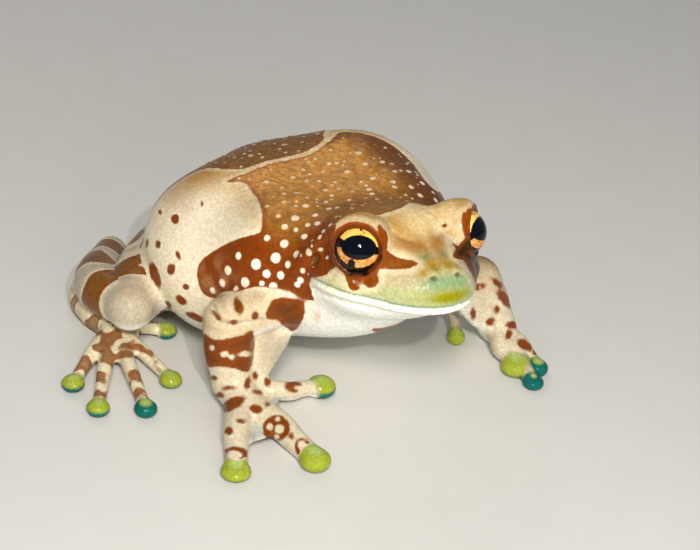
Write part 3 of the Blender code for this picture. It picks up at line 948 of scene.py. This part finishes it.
def head_light(head, height):
    """The head's light colours: a cream and tan crown, green snout and lips, a white lip and throat."""
    beside = folded(head)
    x, y, z = beside.T
    light = np.tile(CHEEK, (len(head), 1))
    top = smoothstep(-2.6, 0.2, z - 0.12 * (y + 5))
    paint(light, CROWN, top)
    # A darker golden patch in the crease inside the right brow: partly the crown's tone, partly painted shade
    # in the crease.
    paint(light, BROW_TAN_AND_SHADE, 0.9 * np.exp(-((head[:, 0] + 3.5) / 2.6) ** 2 - ((y - 0.5) / 5.0) ** 2) * top)
    paint(light, BROW_TAN_AND_SHADE, 0.8 * smoothstep(7.5, 10.0, x) * top)
    paint(light, TAN, 0.95 * bump(y, -5.6 + 0.35 * x, 2.4) * smoothstep(0.0, 4.0, x + 2.5) * top)
    paint_blobs(light, beside, SNOUT_TINTS)
    lip_top = 1.1 + 2.0 * smoothstep(3.0, -8.0, y)
    paint(light, UPPER_LIP, 0.9 * smoothstep(lip_top + 0.7, lip_top - 0.8, height) * smoothstep(7.5, 3.0, y))
    paint_blobs(light, beside, LIP_TINTS)
    paint(light, LIP_LINE, 0.9 * bump(height, 0.25, 0.3) * smoothstep(-1.0, -6.0, y))
    paint(light, LIP, smoothstep(0.1, -0.2, height))
    paint(light, BELLY, smoothstep(-1.3, -2.2, height))
    return light


def head_marks(points, _normals):
    head = to_head(points)
    height, beside = above_mouth(head), folded(head)
    x, y, z = beside.T
    brown, lore_and_shade = head_brown(points, head)
    light, dark = head_light(head, height), np.tile(RUST, (len(points), 1))
    paint(dark, NAPE, smoothstep(-1.0, 3.0, z) * smoothstep(14.0, 9.0, x) * smoothstep(0.0, 5.0, y))
    paint(dark, UMBER, 0.6 * smoothstep(-4.0, -6.0, y))
    # Painted shade: a dark line along the mouth's groove and black in the nostrils' openings; the lids' own
    # black rims are added to it below.
    shade_and_black_rim = 0.3 * bump(height, 0.0, 0.12) * smoothstep(MOUTH_CORNER + 0.6, MOUTH_CORNER, y)
    shade_and_black_rim = np.maximum(shade_and_black_rim, 0.8 * smoothstep(0.75, 0.3, in_nostril(beside)))
    drum = smoothstep(TYMPANUM_RADIUS + 0.2, TYMPANUM_RADIUS - 0.3, in_tympanum(beside))
    # Painted shade, partly the lore's own brown, darkens the left lore; the eardrums get their own dark
    # colour.
    for colours in (light, dark):
        paint(colours, SHADED, smoothstep(-0.8, 0.3, lore_and_shade))
        paint(colours, DRUM, 0.8 * drum)
    for side in SIDES.values():
        ring, black, fold = lid_marks(head, side)
        brown, shade_and_black_rim = np.maximum(brown, ring), np.maximum(shade_and_black_rim, black)
        paint(light, BROW_TAN_AND_SHADE, 0.5 * fold)
    for colours in (light, dark):
        paint(colours, BLACK, shade_and_black_rim)
    brown = np.where(height < 0.3, np.minimum(brown, head[:, 1] - MOUTH_CORNER - 0.4), brown)
    return brown, light, dark


# Outlines, ovals and folds on the arms, in pixels of the photograph.
FOREARM_BAND = ((199, 333), (208, 336), (217, 340), (230, 338), (242, 335), (253, 331), (254, 350),
                (249, 371), (235, 369), (220, 367), (206, 366), (199, 350))
SHOULDER_PATCH = ((266, 318), (271, 302), (279, 298), (292, 298), (305, 302), (305, 314), (300, 325),
                  (293, 331), (285, 327), (276, 320))
ARM_OUTLINES = {"r": (FOREARM_BAND, SHOULDER_PATCH), "l": ()}
ARM_OVALS = {
    "r": (
        (238.5, 306, 5, 9, -10), (255, 316, 3.5, 4.5, 30), (233, 322.5, 5, 2.5, -5),
        (216.5, 316, 2.2, 6, -40), (214, 378, 4, 2.5, 0), (229, 388, 7, 2.6, -5), (247.5, 383, 3, 7, 10),
        (255, 375.5, 2.8, 4, 0),
        (267.5, 382.5, 3.2, 5, -10), (293, 386.5, 9, 5.5, 0), (257.5, 392, 5, 2.4, 15), (219, 395.5, 5, 3, 0),
        (232, 404, 15, 6, -25), (256, 409, 6.5, 4.5, 0), (267, 404, 3.6, 2.6, 20), (276, 428, 14, 13, -20),
        (291.5, 436, 2.8, 3.4, 0), (303.5, 448, 9, 10.5, -30), (241, 421, 4.6, 2.6, 0), (229, 431, 4.6, 4, 0),
        (235, 454.5, 13, 8, 0),
    ),
    "l": (
        (505, 299, 12, 5, 48), (497, 310, 3, 4.6, 0), (490, 322, 4.6, 4.2, 0), (479, 287, 7, 3.2, -10),
        (473, 314, 2.8, 6, 0), (513, 325, 8, 3.4, 10), (509, 334, 3.4, 5, 20), (525, 345, 8.5, 5, 35),
        (536, 353, 3, 5.5, -30), (497, 283, 8, 3, 40),
    ),
}
ARM_PALE = {
    "r": (
        (212, 348, 2.4, 2.4, 0), (225, 354, 4, 3.2, 0), (231.6, 357, 2.8, 2.6, 0), (245, 354, 6, 2.8, -5),
        (221, 401, 4.4, 3.6, 0), (301, 388, 6, 2.4, 0), (270, 427, 3.4, 3.4, 0), (279, 429, 4.6, 4.4, 0),
        (277, 437, 2.4, 2.4, 0), (278, 419, 2.2, 2.2, 0), (302.5, 446, 4.6, 5.6, -30),
        (233, 455, 7.6, 4.4, 0),
    ),
    "l": ((480, 288, 1.5, 2, 0),),
}
ARM_SOFTNESS = 0.6  # less than 1 blurs the edges of the marks
NO_BROWN = 8.0  # taken off the depth in the brown, this keeps the discs clear of it
FOLD_WIDTH = 0.32
SKIN_FOLDS = {
    "arm_r": (((213, 305), (222, 320), (240, 322), (262, 320)), ((280, 318), (288, 312), (296, 305))),
    "arm_l": (((491, 306), (494, 313), (494, 328)),),
}


def in_fold(points, normals, name):
    """How deep in the folds of a part's skin points lie, from 0 to 1."""
    pixels = np.column_stack((pixels_of(points), np.zeros(len(points))))
    found = np.zeros(len(points))
    for line in SKIN_FOLDS[name]:
        fold = Limb([(x, y, 0, 0) for x, y in line])
        found = np.maximum(found, bump(fold.distance(pixels) * PIXEL, 0.0, FOLD_WIDTH))
    return found * facing_camera(normals)


def limb_colours(points, normals):
    light = np.tile(ARM, (len(points), 1))
    paint(light, ARM_TOP, smoothstep(12.0, 18.0, points[:, 2]))
    paint(light, BELLY, smoothstep(-0.1, -0.7, normals[:, 2]))
    return light, np.tile(LIMB_BROWN_AND_SHADE, (len(points), 1))


def paint_discs(light, points, digits):
    """Paints the discs yellow-green with blue-green edges, and returns where they are."""
    discs = np.zeros(len(points))
    for digit in digits:
        away = points - disc_centre(digit)
        along = away[:, :2] @ unit(np.array(digit.tip) - digit.knuckle[:2]) / digit.disc
        flat = np.hypot(away[:, 0], away[:, 1]) / digit.disc
        reach = np.hypot(flat, away[:, 2] / digit.flat)
        on_disc = smoothstep(1.5, 1.2, reach) * smoothstep(-0.75, -0.5, along)
        paint(light, DISC, on_disc)
        paint(light, DISC_MIDDLE, on_disc * smoothstep(0.6, 0.2, flat))
        edge = flat - 0.35 * away[:, 2]
        paint(light, TEAL, on_disc * smoothstep(1.25 - digit.blue, 1.55 - digit.blue, edge))
        discs = np.maximum(discs, on_disc)
    return discs


def paint_webs(light, points, sheets, digits):
    """Paints the thin skin between digits bluish grey."""
    sheet = np.min([web.distance(points) for web, _ in sheets], 0)
    digit = np.min([shape.distance(points) for shape, _ in digits], 0)
    paint(light, WEB_SKIN, smoothstep(0.5, 0.1, sheet) * smoothstep(0.1, 0.7, digit))


def arm_marks(points, normals, side):
    light, dark = limb_colours(points, normals)
    pixels = pixels_of(points)
    brown = depth_in_ovals(ARM_OVALS[side], pixels)
    for outline in ARM_OUTLINES[side]:
        brown = np.maximum(brown, depth_in(outline, pixels))
    if side == "l":
        # The left arm's top is painted brown: partly its own tone, partly painted shade beside the head.
        paint(light, LEFT_ARM_TOP_AND_SHADE, 0.9 * smoothstep(*LEFT_ARM_TOP_EDGE, pixels[:, 1]))
    brown = np.minimum(brown, -depth_in_ovals(ARM_PALE[side], pixels)) * PIXEL * ARM_SOFTNESS
    fold = in_fold(points, normals, f"arm_{side}")
    # Painted shade in the folds of the arms' skin.
    for colours in (light, dark):
        paint(colours, CREASE_SHADE_AND_MOTTLE, 0.7 * fold)
    digits = [shape for digit in FINGERS[side] for shape in digit_shapes(PALM[side][-1][:3], digit)]
    paint_webs(light, points, finger_webs(side), digits)
    return brown - NO_BROWN * paint_discs(light, points, FINGERS[side]), light, dark


# The limb, its bands' period, the share of it that is brown, and where the first one starts.
LEG_BANDS = ((THIGH, 11.0, 0.55, 0.32), (SHANK, 10.5, 0.5, 0.9), (FOOT, 7.5, 0.42, 0.1))
BAND_WOBBLE, WOBBLE_SIZE = 2.5, 5.0
KNEE_PALE = 5.8  # the knees have no brown this near
TOE_START = 0.8  # a point further than this from thigh, shank and foot lies on a toe
TOE_BLOTCH = 2.4  # size of the blotches on the toes


def leg_marks(points, normals, side):
    light, dark = limb_colours(points, normals)
    paint(dark, UMBER, np.full(len(points), 0.6))
    wobble = BAND_WOBBLE * noise_at(points, WOBBLE_SIZE)
    nearest, brown = np.full(len(points), FAR), np.zeros(len(points))
    for rows, period, share, start in LEG_BANDS:
        away, place = Limb(rows[side]).measure(points)
        phase = ((place + wobble) / period + start) % 1.0
        band = (share / 2 - np.abs(phase - 0.5)) * period
        brown = np.where(away < nearest, band, brown)
        nearest = np.minimum(nearest, away)
    brown = np.minimum(brown, length(points - SHANK[side][0][:3]) - KNEE_PALE)
    on_foot = np.maximum(smoothstep(3.0, 5.0, place), nearest > TOE_START) * (points[:, 2] < 7.0)
    blotch = 1.2 * (noise_at(points, TOE_BLOTCH) - 0.1)
    brown = np.where(nearest > TOE_START, blotch, brown)
    paint(light, FOOT_SKIN, on_foot)
    paint(dark, FOOT_BROWN, on_foot)
    return brown - NO_BROWN * paint_discs(light, points, toes(side)), light, dark


def noise_at(points, size):
    """Smooth noise between about -1 and 1 with features of the given size."""
    return np.array([noise.noise(point) for point in (points / size).tolist()])


SHARE_WIDTH = 0.7  # how softly the parts' markings run into each other
SMALLEST_SHARE = 0.002  # a part's markings are left out below this


def part_shares(points):
    """How much each point belongs to each part."""
    away = np.empty((len(PARTS), len(points)))

    def work(chosen):
        for row, name in zip(away, PARTS):
            row[chosen] = part_distance(name, points[chosen], False)

    in_clusters(points, work)
    share = np.exp(-np.minimum(away - away.min(0), 20.0) / SHARE_WIDTH)
    return dict(zip(PARTS, share / share.sum(0)))


# Pale raised dots, in pixels of the photograph: (x, y, radius).
DOTS = (
    (228.2, 270.3, 4.2), (238.5, 255.9, 3.3), (256.1, 264.2, 4.8), (275.8, 257.9, 4.6), (284.4, 243.7, 3.8),
    (267.2, 238, 2.9), (284.8, 226.7, 2.9), (295.2, 218.1, 3.6), (305.7, 206, 3.1), (278.5, 216, 2.1),
    (266.5, 181.7, 2.9), (293.2, 177.5, 2.5), (303.2, 169.5, 2.1), (309.5, 174, 1.9), (296.7, 192.8, 2.7),
    (284, 193.8, 2.1), (283.7, 201.8, 2.1), (296.7, 201.2, 1.7), (307.4, 197.4, 1.7), (319.3, 181.5, 2.3),
    (325.8, 189.8, 2.5), (335, 182.1, 2.3), (338.4, 188.6, 2.1), (331.9, 195.5, 1.9), (347.4, 172, 3.1),
    (358.5, 153, 3.1), (365.4, 163.9, 3.0), (382.2, 161.8, 2.7), (372.8, 177.9, 2.7), (361.2, 181.9, 1.9),
    (369, 189.2, 2.7), (371.9, 194.2, 2.3), (353.1, 191.5, 1.7), (349.3, 200.1, 1.7), (365.7, 203.9, 1.9),
    (394.6, 171.4, 2.7), (408.6, 171.6, 2.9), (392.7, 181.9, 2.7), (394.6, 186.9, 2.7), (411.3, 186.9, 2.7),
    (422.2, 183.4, 2.7), (419.9, 195.5, 2.9), (405.5, 194.9, 1.5), (329, 208.5, 2.5), (337.2, 207.9, 2.1),
    (315.4, 215, 2.6), (317.2, 223.6, 2.7), (307.8, 225.1, 2.3), (304.3, 236.4, 2.9), (296.1, 229.7, 2.1),
    (320.2, 236.8, 2.5), (320.6, 249.4, 2.3), (308.7, 252.3, 3.4), (296.5, 254.2, 3.4), (288.1, 264.6, 3.1),
    (327.7, 257.5, 1.9), (266.7, 273.9, 3.6), (280.8, 275.3, 3.6), (245.4, 282.3, 4.6), (222.6, 282.9, 3.8),
    (273.2, 286.9, 4.0), (261.9, 283.5, 2.5), (236, 289.4, 3.0), (212.9, 290.4, 3.1), (302.8, 270.5, 2.5),
    (300.7, 280, 2.9), (297.3, 284.5, 2.7), (314.5, 295.2, 2.9), (250.8, 155.7, 2.7), (284.3, 144.4, 2.9),
)
DOT_SPREAD = 1.15  # soft edges make the dots look smaller
DOT_HEIGHT = 0.13
DOTS_APART = 2.5  # a mirrored dot keeps this far from those that show
MOST_DOTS = 240
SMALL_DOT_TRIES = 1320
SMALL_DOT_SIZES = (0.16, 0.42)
SMALL_DOT_GAP = 0.55
SMALL_DOT_REACH = 16.0  # how far round from the spine they lie


def dot_places(points, brown, shares, chart):
    """Centres and radii of the dots: those that show, their mirror images, and small ones between them."""
    random = np.random.default_rng(7)
    rows = np.array(DOTS)
    centres, radii = cast(rows[:, :2]), rows[:, 2] * PIXEL * DOT_SPREAD
    body = to_body(centres)
    image = on_body(body * (-1, 1, 1) + random.normal(0, 0.7, body.shape) * (1, 1, 0))
    image = settle_on_skin(image, 4)[0]
    apart = length(image[:, None] - centres[None]).min(1) > DOTS_APART
    hidden = apart & (body[:, 0] < -2.0)
    centres, radii = np.vstack((centres, image[hidden])), np.concatenate((radii, radii[hidden] * 0.95))
    free = (brown > 0.7) & (shares["trunk"] + shares["head"] > 0.8) & (points[:, 2] > 20)
    free = np.flatnonzero(free & (to_head(points)[:, 1] > 6.5) & (np.abs(chart[:, 0]) < SMALL_DOT_REACH))
    for index in random.permutation(free)[:SMALL_DOT_TRIES]:
        radius = random.uniform(*SMALL_DOT_SIZES)
        if np.all(length(centres - points[index]) > radii + radius + SMALL_DOT_GAP):
            centres, radii = np.vstack((centres, points[index])), np.append(radii, radius)
        if len(radii) > MOST_DOTS:
            break
    return centres, radii


def dot_depth(points, centres, radii):
    found = np.full(len(points), -FAR)

    def work(chosen):
        here = points[chosen]
        close = length(centres - here.mean(0)) < 9.0
        if close.any():
            found[chosen] = (radii[close] - length(here[:, None] - centres[close][None])).max(1)

    in_clusters(points, work, 3.0)
    return found


def marked(points, normals):
    """Depth in the brown, light and dark colours and shares of the parts, for the whole skin."""
    shares = part_shares(points)
    brown, light, dark = np.zeros(len(points)), np.zeros((len(points), 3)), np.zeros((len(points), 3))
    makers = {"trunk": trunk_marks, "head": head_marks, "arm": arm_marks, "leg": leg_marks}
    for name, share in shares.items():
        here = share > SMALLEST_SHARE
        share = share[here]
        kind, *side = name.split("_")
        marks = makers[kind](points[here], normals[here], *side)
        brown[here] += np.clip(marks[0], -6.0, 6.0) * share
        light[here] += marks[1] * share[:, None]
        dark[here] += marks[2] * share[:, None]
    return brown, light, dark, shares


# ------------------------------------------------------------------ nodes
class Surface:
    """A material whose nodes are added one by one."""

    def __init__(self, name, **settings):
        self.material = bpy.data.materials.new(name)
        self.material.use_nodes = True
        self.tree = self.material.node_tree
        self.shader = self.tree.nodes["Principled BSDF"]
        for socket, value in settings.items():
            self.shader.inputs[socket.replace("_", " ")].default_value = value

    def link(self, value, socket):
        if isinstance(value, bpy.types.NodeSocket):
            self.tree.links.new(value, socket)
        elif isinstance(value, str):
            socket.default_value = (*colour(value), 1.0)
        elif isinstance(value, np.ndarray):
            socket.default_value = (*value, 1.0)
        else:
            socket.default_value = value

    def node(self, kind, inputs, **settings):
        made = self.tree.nodes.new("ShaderNode" + kind)
        for setting, value in settings.items():
            setattr(made, setting, value)
        for socket, value in inputs.items():
            self.link(value, made.inputs[socket])
        return made

    def attribute(self, name, output="Fac"):
        return self.node("Attribute", {}, attribute_name=name).outputs[output]

    def place(self):
        return self.node("TexCoord", {}).outputs["Object"]

    def noise(self, size, detail=2.0, rough=0.5):
        """Noise between 0 and 1 with features of the given size in millimetres."""
        inputs = {"Vector": self.place(), "Scale": 1.0 / (size * MM), "Detail": detail, "Roughness": rough}
        return self.node("TexNoise", inputs).outputs["Fac"]

    def cells(self, size, output="Distance", **settings):
        inputs = {"Vector": self.place(), "Scale": 1.0 / (size * MM)}
        return self.node("TexVoronoi", inputs, **settings).outputs[output]

    def math(self, operation, a, b=0.0, c=0.0):
        return self.node("Math", {0: a, 1: b, 2: c}, operation=operation).outputs[0]

    def step(self, value, low, high, bottom=0.0, top=1.0):
        inputs = {"Value": value, "From Min": low, "From Max": high, "To Min": bottom, "To Max": top}
        return self.node("MapRange", inputs, interpolation_type="SMOOTHSTEP").outputs["Result"]

    def mix(self, share, a, b, blend="MIX"):
        made = self.node("Mix", {0: share}, data_type="RGBA", blend_type=blend)
        self.link(a, made.inputs[6])
        self.link(b, made.inputs[7])
        return made.outputs[2]

    def bumps(self, height, depth, strength=1.0, normal=None):
        inputs = {"Height": height, "Distance": depth * MM, "Strength": strength}
        made = self.node("Bump", inputs)
        if normal:
            self.link(normal, made.inputs["Normal"])
        return made.outputs["Normal"]

    def finish(self, **links):
        for socket, value in links.items():
            self.link(value, self.shader.inputs[socket.replace("_", " ")])
        return self.material


def skin_material():
    """Moist skin: cream and brown with ragged edges, raised pale dots, and a grain of fine glands."""
    s = Surface("moist skin", Subsurface_Weight=0.12, Subsurface_Radius=(1.0, 0.45, 0.25),
                Subsurface_Scale=0.0012, Specular_IOR_Level=0.08, Coat_Weight=0.5, Coat_Roughness=0.08,
                Coat_IOR=1.33, IOR=1.33)
    ragged = s.math("MULTIPLY_ADD", s.noise(1.3, 3.0), 0.4, -0.2)
    brown = s.math("ADD", s.attribute("brown"), ragged)
    dots = s.math("ADD", s.attribute("dots"), s.math("MULTIPLY_ADD", s.noise(0.5, 1.0), 0.2, -0.1))
    in_brown = s.step(brown, -0.14, 0.14)
    skin_colour = s.attribute("light", "Color")
    halo = s.math("MULTIPLY", s.step(brown, -1.6, -0.3), 0.4)
    light = s.mix(halo, skin_colour, "F3E6C2")
    stain = s.step(s.noise(5.0, 4.0, 0.6), 0.5, 0.8, 0.0, 0.18)
    light = s.mix(stain, light, "DDBFA0", "MULTIPLY")
    rim = s.math("MULTIPLY", s.step(brown, 1.1, 0.15), 0.6)
    dark = s.mix(rim, s.attribute("dark", "Color"), RUST_EDGE)
    dark = s.mix(s.step(s.noise(1.5, 5.0, 0.7), 0.4, 0.7, 0.0, 0.4), dark, CREASE_SHADE_AND_MOTTLE)
    base = s.mix(in_brown, light, dark)
    on_dot = s.math("MULTIPLY", s.step(dots, -0.16, 0.16), s.step(brown, -0.1, 0.3))
    base = s.mix(on_dot, base, s.mix(0.35, skin_colour, "FCF6E5"))
    grain = s.cells(0.55, feature="SMOOTH_F1")
    base = s.mix(s.step(grain, 0.15, 0.6, 0.0, 0.22), base, "8A7A60", "MULTIPLY")
    wrinkles = s.noise(1.4, 3.0, 0.6)
    normal = s.bumps(s.math("SUBTRACT", 1.0, grain), 0.06, 0.8)
    normal = s.bumps(wrinkles, 0.16, 0.5, normal)
    wet = s.bumps(s.noise(0.5, 1.0), 0.09, 1.0, normal)
    roughness = s.math("MULTIPLY_ADD", s.noise(1.8, 3.0), 0.26, 0.36)
    return s.finish(Base_Color=base, Roughness=roughness, Normal=normal, Coat_Normal=wet)


def eye_material():
    """A dark oval pupil in an iris that is gold above and copper below, with dark flecks and gaps."""
    s = Surface("wet eye", Roughness=0.2, Specular_IOR_Level=0.0, Coat_Weight=1.0, Coat_Roughness=0.03,
                Coat_IOR=1.33, IOR=1.33)
    ahead, up, out = s.node("SeparateXYZ", {0: s.attribute("gaze", "Vector")}).outputs
    fine = s.math("MULTIPLY_ADD", s.noise(0.45, 3.0), 0.12, -0.06)

    def oval(x, y, wide, high):
        """More than zero inside an oval round a place on the eye."""
        dx = s.math("DIVIDE", s.math("SUBTRACT", ahead, x), wide)
        dy = s.math("DIVIDE", s.math("SUBTRACT", up, y), high)
        away = s.math("SQRT", s.math("ADD", s.math("MULTIPLY", dx, dx), s.math("MULTIPLY", dy, dy)))
        return s.math("MULTIPLY", s.math("SUBTRACT", 1.0, away), min(wide, high))

    iris = s.math("ADD", oval(-0.02, 0.03, 0.86, 0.79), fine)
    iris = s.math("MINIMUM", iris, s.math("SUBTRACT", out, 0.2))
    for gap in ((-0.8, 0.17, 0.22, 0.17), (0.7, -0.06, 0.12, 0.15), (-0.27, -0.64, 0.14, 0.2)):
        iris = s.math("MINIMUM", iris, s.math("SUBTRACT", fine, oval(*gap)))
    pupil = s.math("ADD", oval(-0.02, 0.03, 0.7, 0.48), s.math("MULTIPLY", fine, 0.3))
    share = s.step(up, -0.05, 0.2)
    base = s.mix(share, "CE8134", "F0BE50")
    fleck = s.cells(0.34)
    speckle = s.step(s.math("ADD", fleck, s.math("MULTIPLY", share, 0.28)), 0.26, 0.4, 0.85, 0.0)
    base = s.mix(speckle, base, "3A1C0A")
    shine = s.step(s.noise(0.7, 2.0), 0.4, 0.7, 0.0, 0.35)
    base = s.mix(shine, base, "FFE29A")
    notch = s.math("ADD", oval(0.03, 0.67, 0.18, 0.2), s.math("MULTIPLY", fine, 0.5))
    mesh_of_dark = s.step(s.cells(0.5, feature="DISTANCE_TO_EDGE"), 0.12, 0.2)
    base = s.mix(s.math("MULTIPLY", s.step(notch, -0.02, 0.05), mesh_of_dark), base, BLACK)
    base = s.mix(s.step(iris, 0.0, 0.03), "0B0807", base)
    base = s.mix(s.step(pupil, -0.01, 0.02), base, "03050D")
    return s.finish(Base_Color=base)


# ------------------------------------------------------------------ pieces
def mesh_object(name, points, faces, **attributes):
    mesh = bpy.data.meshes.new(name)
    mesh.from_pydata(((points + STANDS_AT) * MM).tolist(), [], faces)
    for attribute, values in attributes.items():
        if values.ndim == 1:
            mesh.attributes.new(attribute, "FLOAT", "POINT").data.foreach_set("value", values)
        elif attribute == "gaze":
            mesh.attributes.new(attribute, "FLOAT_VECTOR", "POINT").data.foreach_set("vector", values.ravel())
        else:
            rgba = np.hstack((values, np.ones((len(values), 1))))
            mesh.attributes.new(attribute, "FLOAT_COLOR", "POINT").data.foreach_set("color", rgba.ravel())
    mesh.polygons.foreach_set("use_smooth", [True] * len(mesh.polygons))
    mesh.update()
    obj = bpy.data.objects.new(name, mesh)
    bpy.context.scene.collection.objects.link(obj)
    return obj


FURROW_DEPTH, FOLD_DEPTH = 0.14, 0.35


def skin_relief(points, normals, shares, dots):
    """Raised dots, furrows along the back, and folds in the arms' skin."""
    chart = body_chart(points)
    top = smoothstep(20.0, 10.0, np.abs(chart[:, 0])) * (points[:, 2] > 20)
    top = top * (shares["trunk"] + 0.5 * shares["head"])
    relief = DOT_HEIGHT * smoothstep(-0.35, 0.15, dots) - FURROW_DEPTH * top * furrows(chart)
    for name in SKIN_FOLDS:
        relief = relief - FOLD_DEPTH * shares[name] * in_fold(points, normals, name)
    return relief


def make_skin():
    points, faces, normals = skin_shape()
    brown, light, dark, shares = marked(points, normals)
    dots = dot_depth(points, *dot_places(points, brown, shares, body_chart(points)))
    relief = skin_relief(points, normals, shares, np.where(brown > 0, dots, -1.0))
    skin = mesh_object("skin", points + normals * relief[:, None], faces,
                       brown=brown, dots=dots, light=light, dark=dark)
    skin.data.materials.append(skin_material())
    flesh_nodes = [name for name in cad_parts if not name.startswith("eye_")]
    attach(skin, "root")
    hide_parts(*flesh_nodes)


EYE_RINGS, EYE_SPOKES = 90, 128
CORNEA, CORNEA_WIDTH = 0.14, 0.6  # how far the middle of the eye stands out, and its width in radians


def make_eye(side, material):
    turn = eye_frame(PUPIL_AXIS, SIDES[side])
    directions = [(0.0, 0.0, 1.0)]
    for ring in range(1, EYE_RINGS):
        away = math.pi * ring / EYE_RINGS
        for spoke in range(EYE_SPOKES):
            around = 2 * math.pi * spoke / EYE_SPOKES
            directions.append((math.sin(away) * math.cos(around),
                               math.sin(away) * math.sin(around), math.cos(away)))
    directions = np.array(directions + [(0.0, 0.0, -1.0)])
    last = len(directions) - 1
    faces = []
    for spoke in range(EYE_SPOKES):
        after = (spoke + 1) % EYE_SPOKES
        faces.append([0, 1 + spoke, 1 + after])
        for ring in range(EYE_RINGS - 2):
            start = 1 + ring * EYE_SPOKES
            beyond = start + EYE_SPOKES
            faces.append([start + spoke, beyond + spoke, beyond + after, start + after])
        faces.append([last, last - EYE_SPOKES + after, last - EYE_SPOKES + spoke])
    off_axis = np.arccos(np.clip(directions[:, 2], -1, 1))
    radius = EYE_RADIUS + CORNEA * bump(off_axis, 0.0, CORNEA_WIDTH)
    local = directions * radius[:, None] @ turn + (SIDES[side] * EYE_SPREAD, 0, 0)
    if SIDES[side] > 0:  # the left eye's ahead, up and out are a left-handed frame
        faces = [face[::-1] for face in faces]
    eye = mesh_object(f"eyeball_{side}", on_head(local), faces, gaze=directions)
    eye.data.materials.append(material)
    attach(eye, "root")
    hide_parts(f"eye_{side}")


# ------------------------------------------------------------------ floor, lights and camera
FLOOR_HALF = 0.9  # half the floor's side, in metres


def make_floor():
    corners = [(x * FLOOR_HALF, y * FLOOR_HALF, 0.0) for x, y in ((-1, -1), (1, -1), (1, 1), (-1, 1))]
    mesh = bpy.data.meshes.new("floor")
    mesh.from_pydata(corners, [], [(0, 1, 2, 3)])
    floor = bpy.data.objects.new("floor", mesh)
    bpy.context.scene.collection.objects.link(floor)
    s = Surface("pale floor", Roughness=0.6)
    tone = s.mix(s.noise(9.0, 3.0), "C9C6BE", "CFCCC5")
    floor.data.materials.append(s.finish(Base_Color=tone, Normal=s.bumps(s.noise(0.8), 0.02, 0.3)))


def world_place(point):
    return Vector((np.array(point, float) + STANDS_AT) * MM)


def add_light(name, at, size, power, tint):
    light = bpy.data.lights.new(name, "AREA")
    light.shape = "DISK"
    light.size = size * MM
    light.energy = power
    light.color = tint
    obj = bpy.data.objects.new(name, light)
    obj.location = world_place(at)
    obj.rotation_euler = (world_place((-2, 0, 18)) - obj.location).to_track_quat("-Z", "Y").to_euler()
    bpy.context.scene.collection.objects.link(obj)
    return obj


def make_lights():
    add_light("key", (-260, -330, 400), 120, 2.3, (1.0, 0.985, 0.96))
    add_light("flash", (-150, -270, 250), 10, 0.55, (1.0, 0.99, 0.97))
    fill = add_light("fill", (-120, -330, 50), 250, 0.75, (0.97, 0.98, 1.0))
    fill.visible_glossy = False
    add_light("rim", (120, 380, 380), 260, 0.3, (1.0, 0.98, 0.96))
    world = bpy.data.worlds.new("studio")
    world.use_nodes = True
    world.node_tree.nodes["Background"].inputs["Color"].default_value = (0.92, 0.95, 1.0, 1.0)
    world.node_tree.nodes["Background"].inputs["Strength"].default_value = 0.25
    bpy.context.scene.world = world
    bpy.context.scene.view_settings.view_transform = "Standard"


def make_camera():
    camera = bpy.data.cameras.new("camera")
    camera.lens, camera.sensor_width = LENS, SENSOR
    camera.clip_start, camera.clip_end = 0.01, 10.0
    obj = bpy.data.objects.new("camera", camera)
    turn = Matrix(np.stack((RIGHT, UP, -FORWARD), 1).tolist()).to_4x4()
    obj.matrix_world = Matrix.Translation(world_place(EYE_POINT)) @ turn
    bpy.context.scene.collection.objects.link(obj)
    bpy.context.scene.camera = obj


make_skin()
wet_eye = eye_material()
for eye_side in SIDES:
    make_eye(eye_side, wet_eye)
make_floor()
make_lights()
make_camera()
bpy.context.view_layer.update()
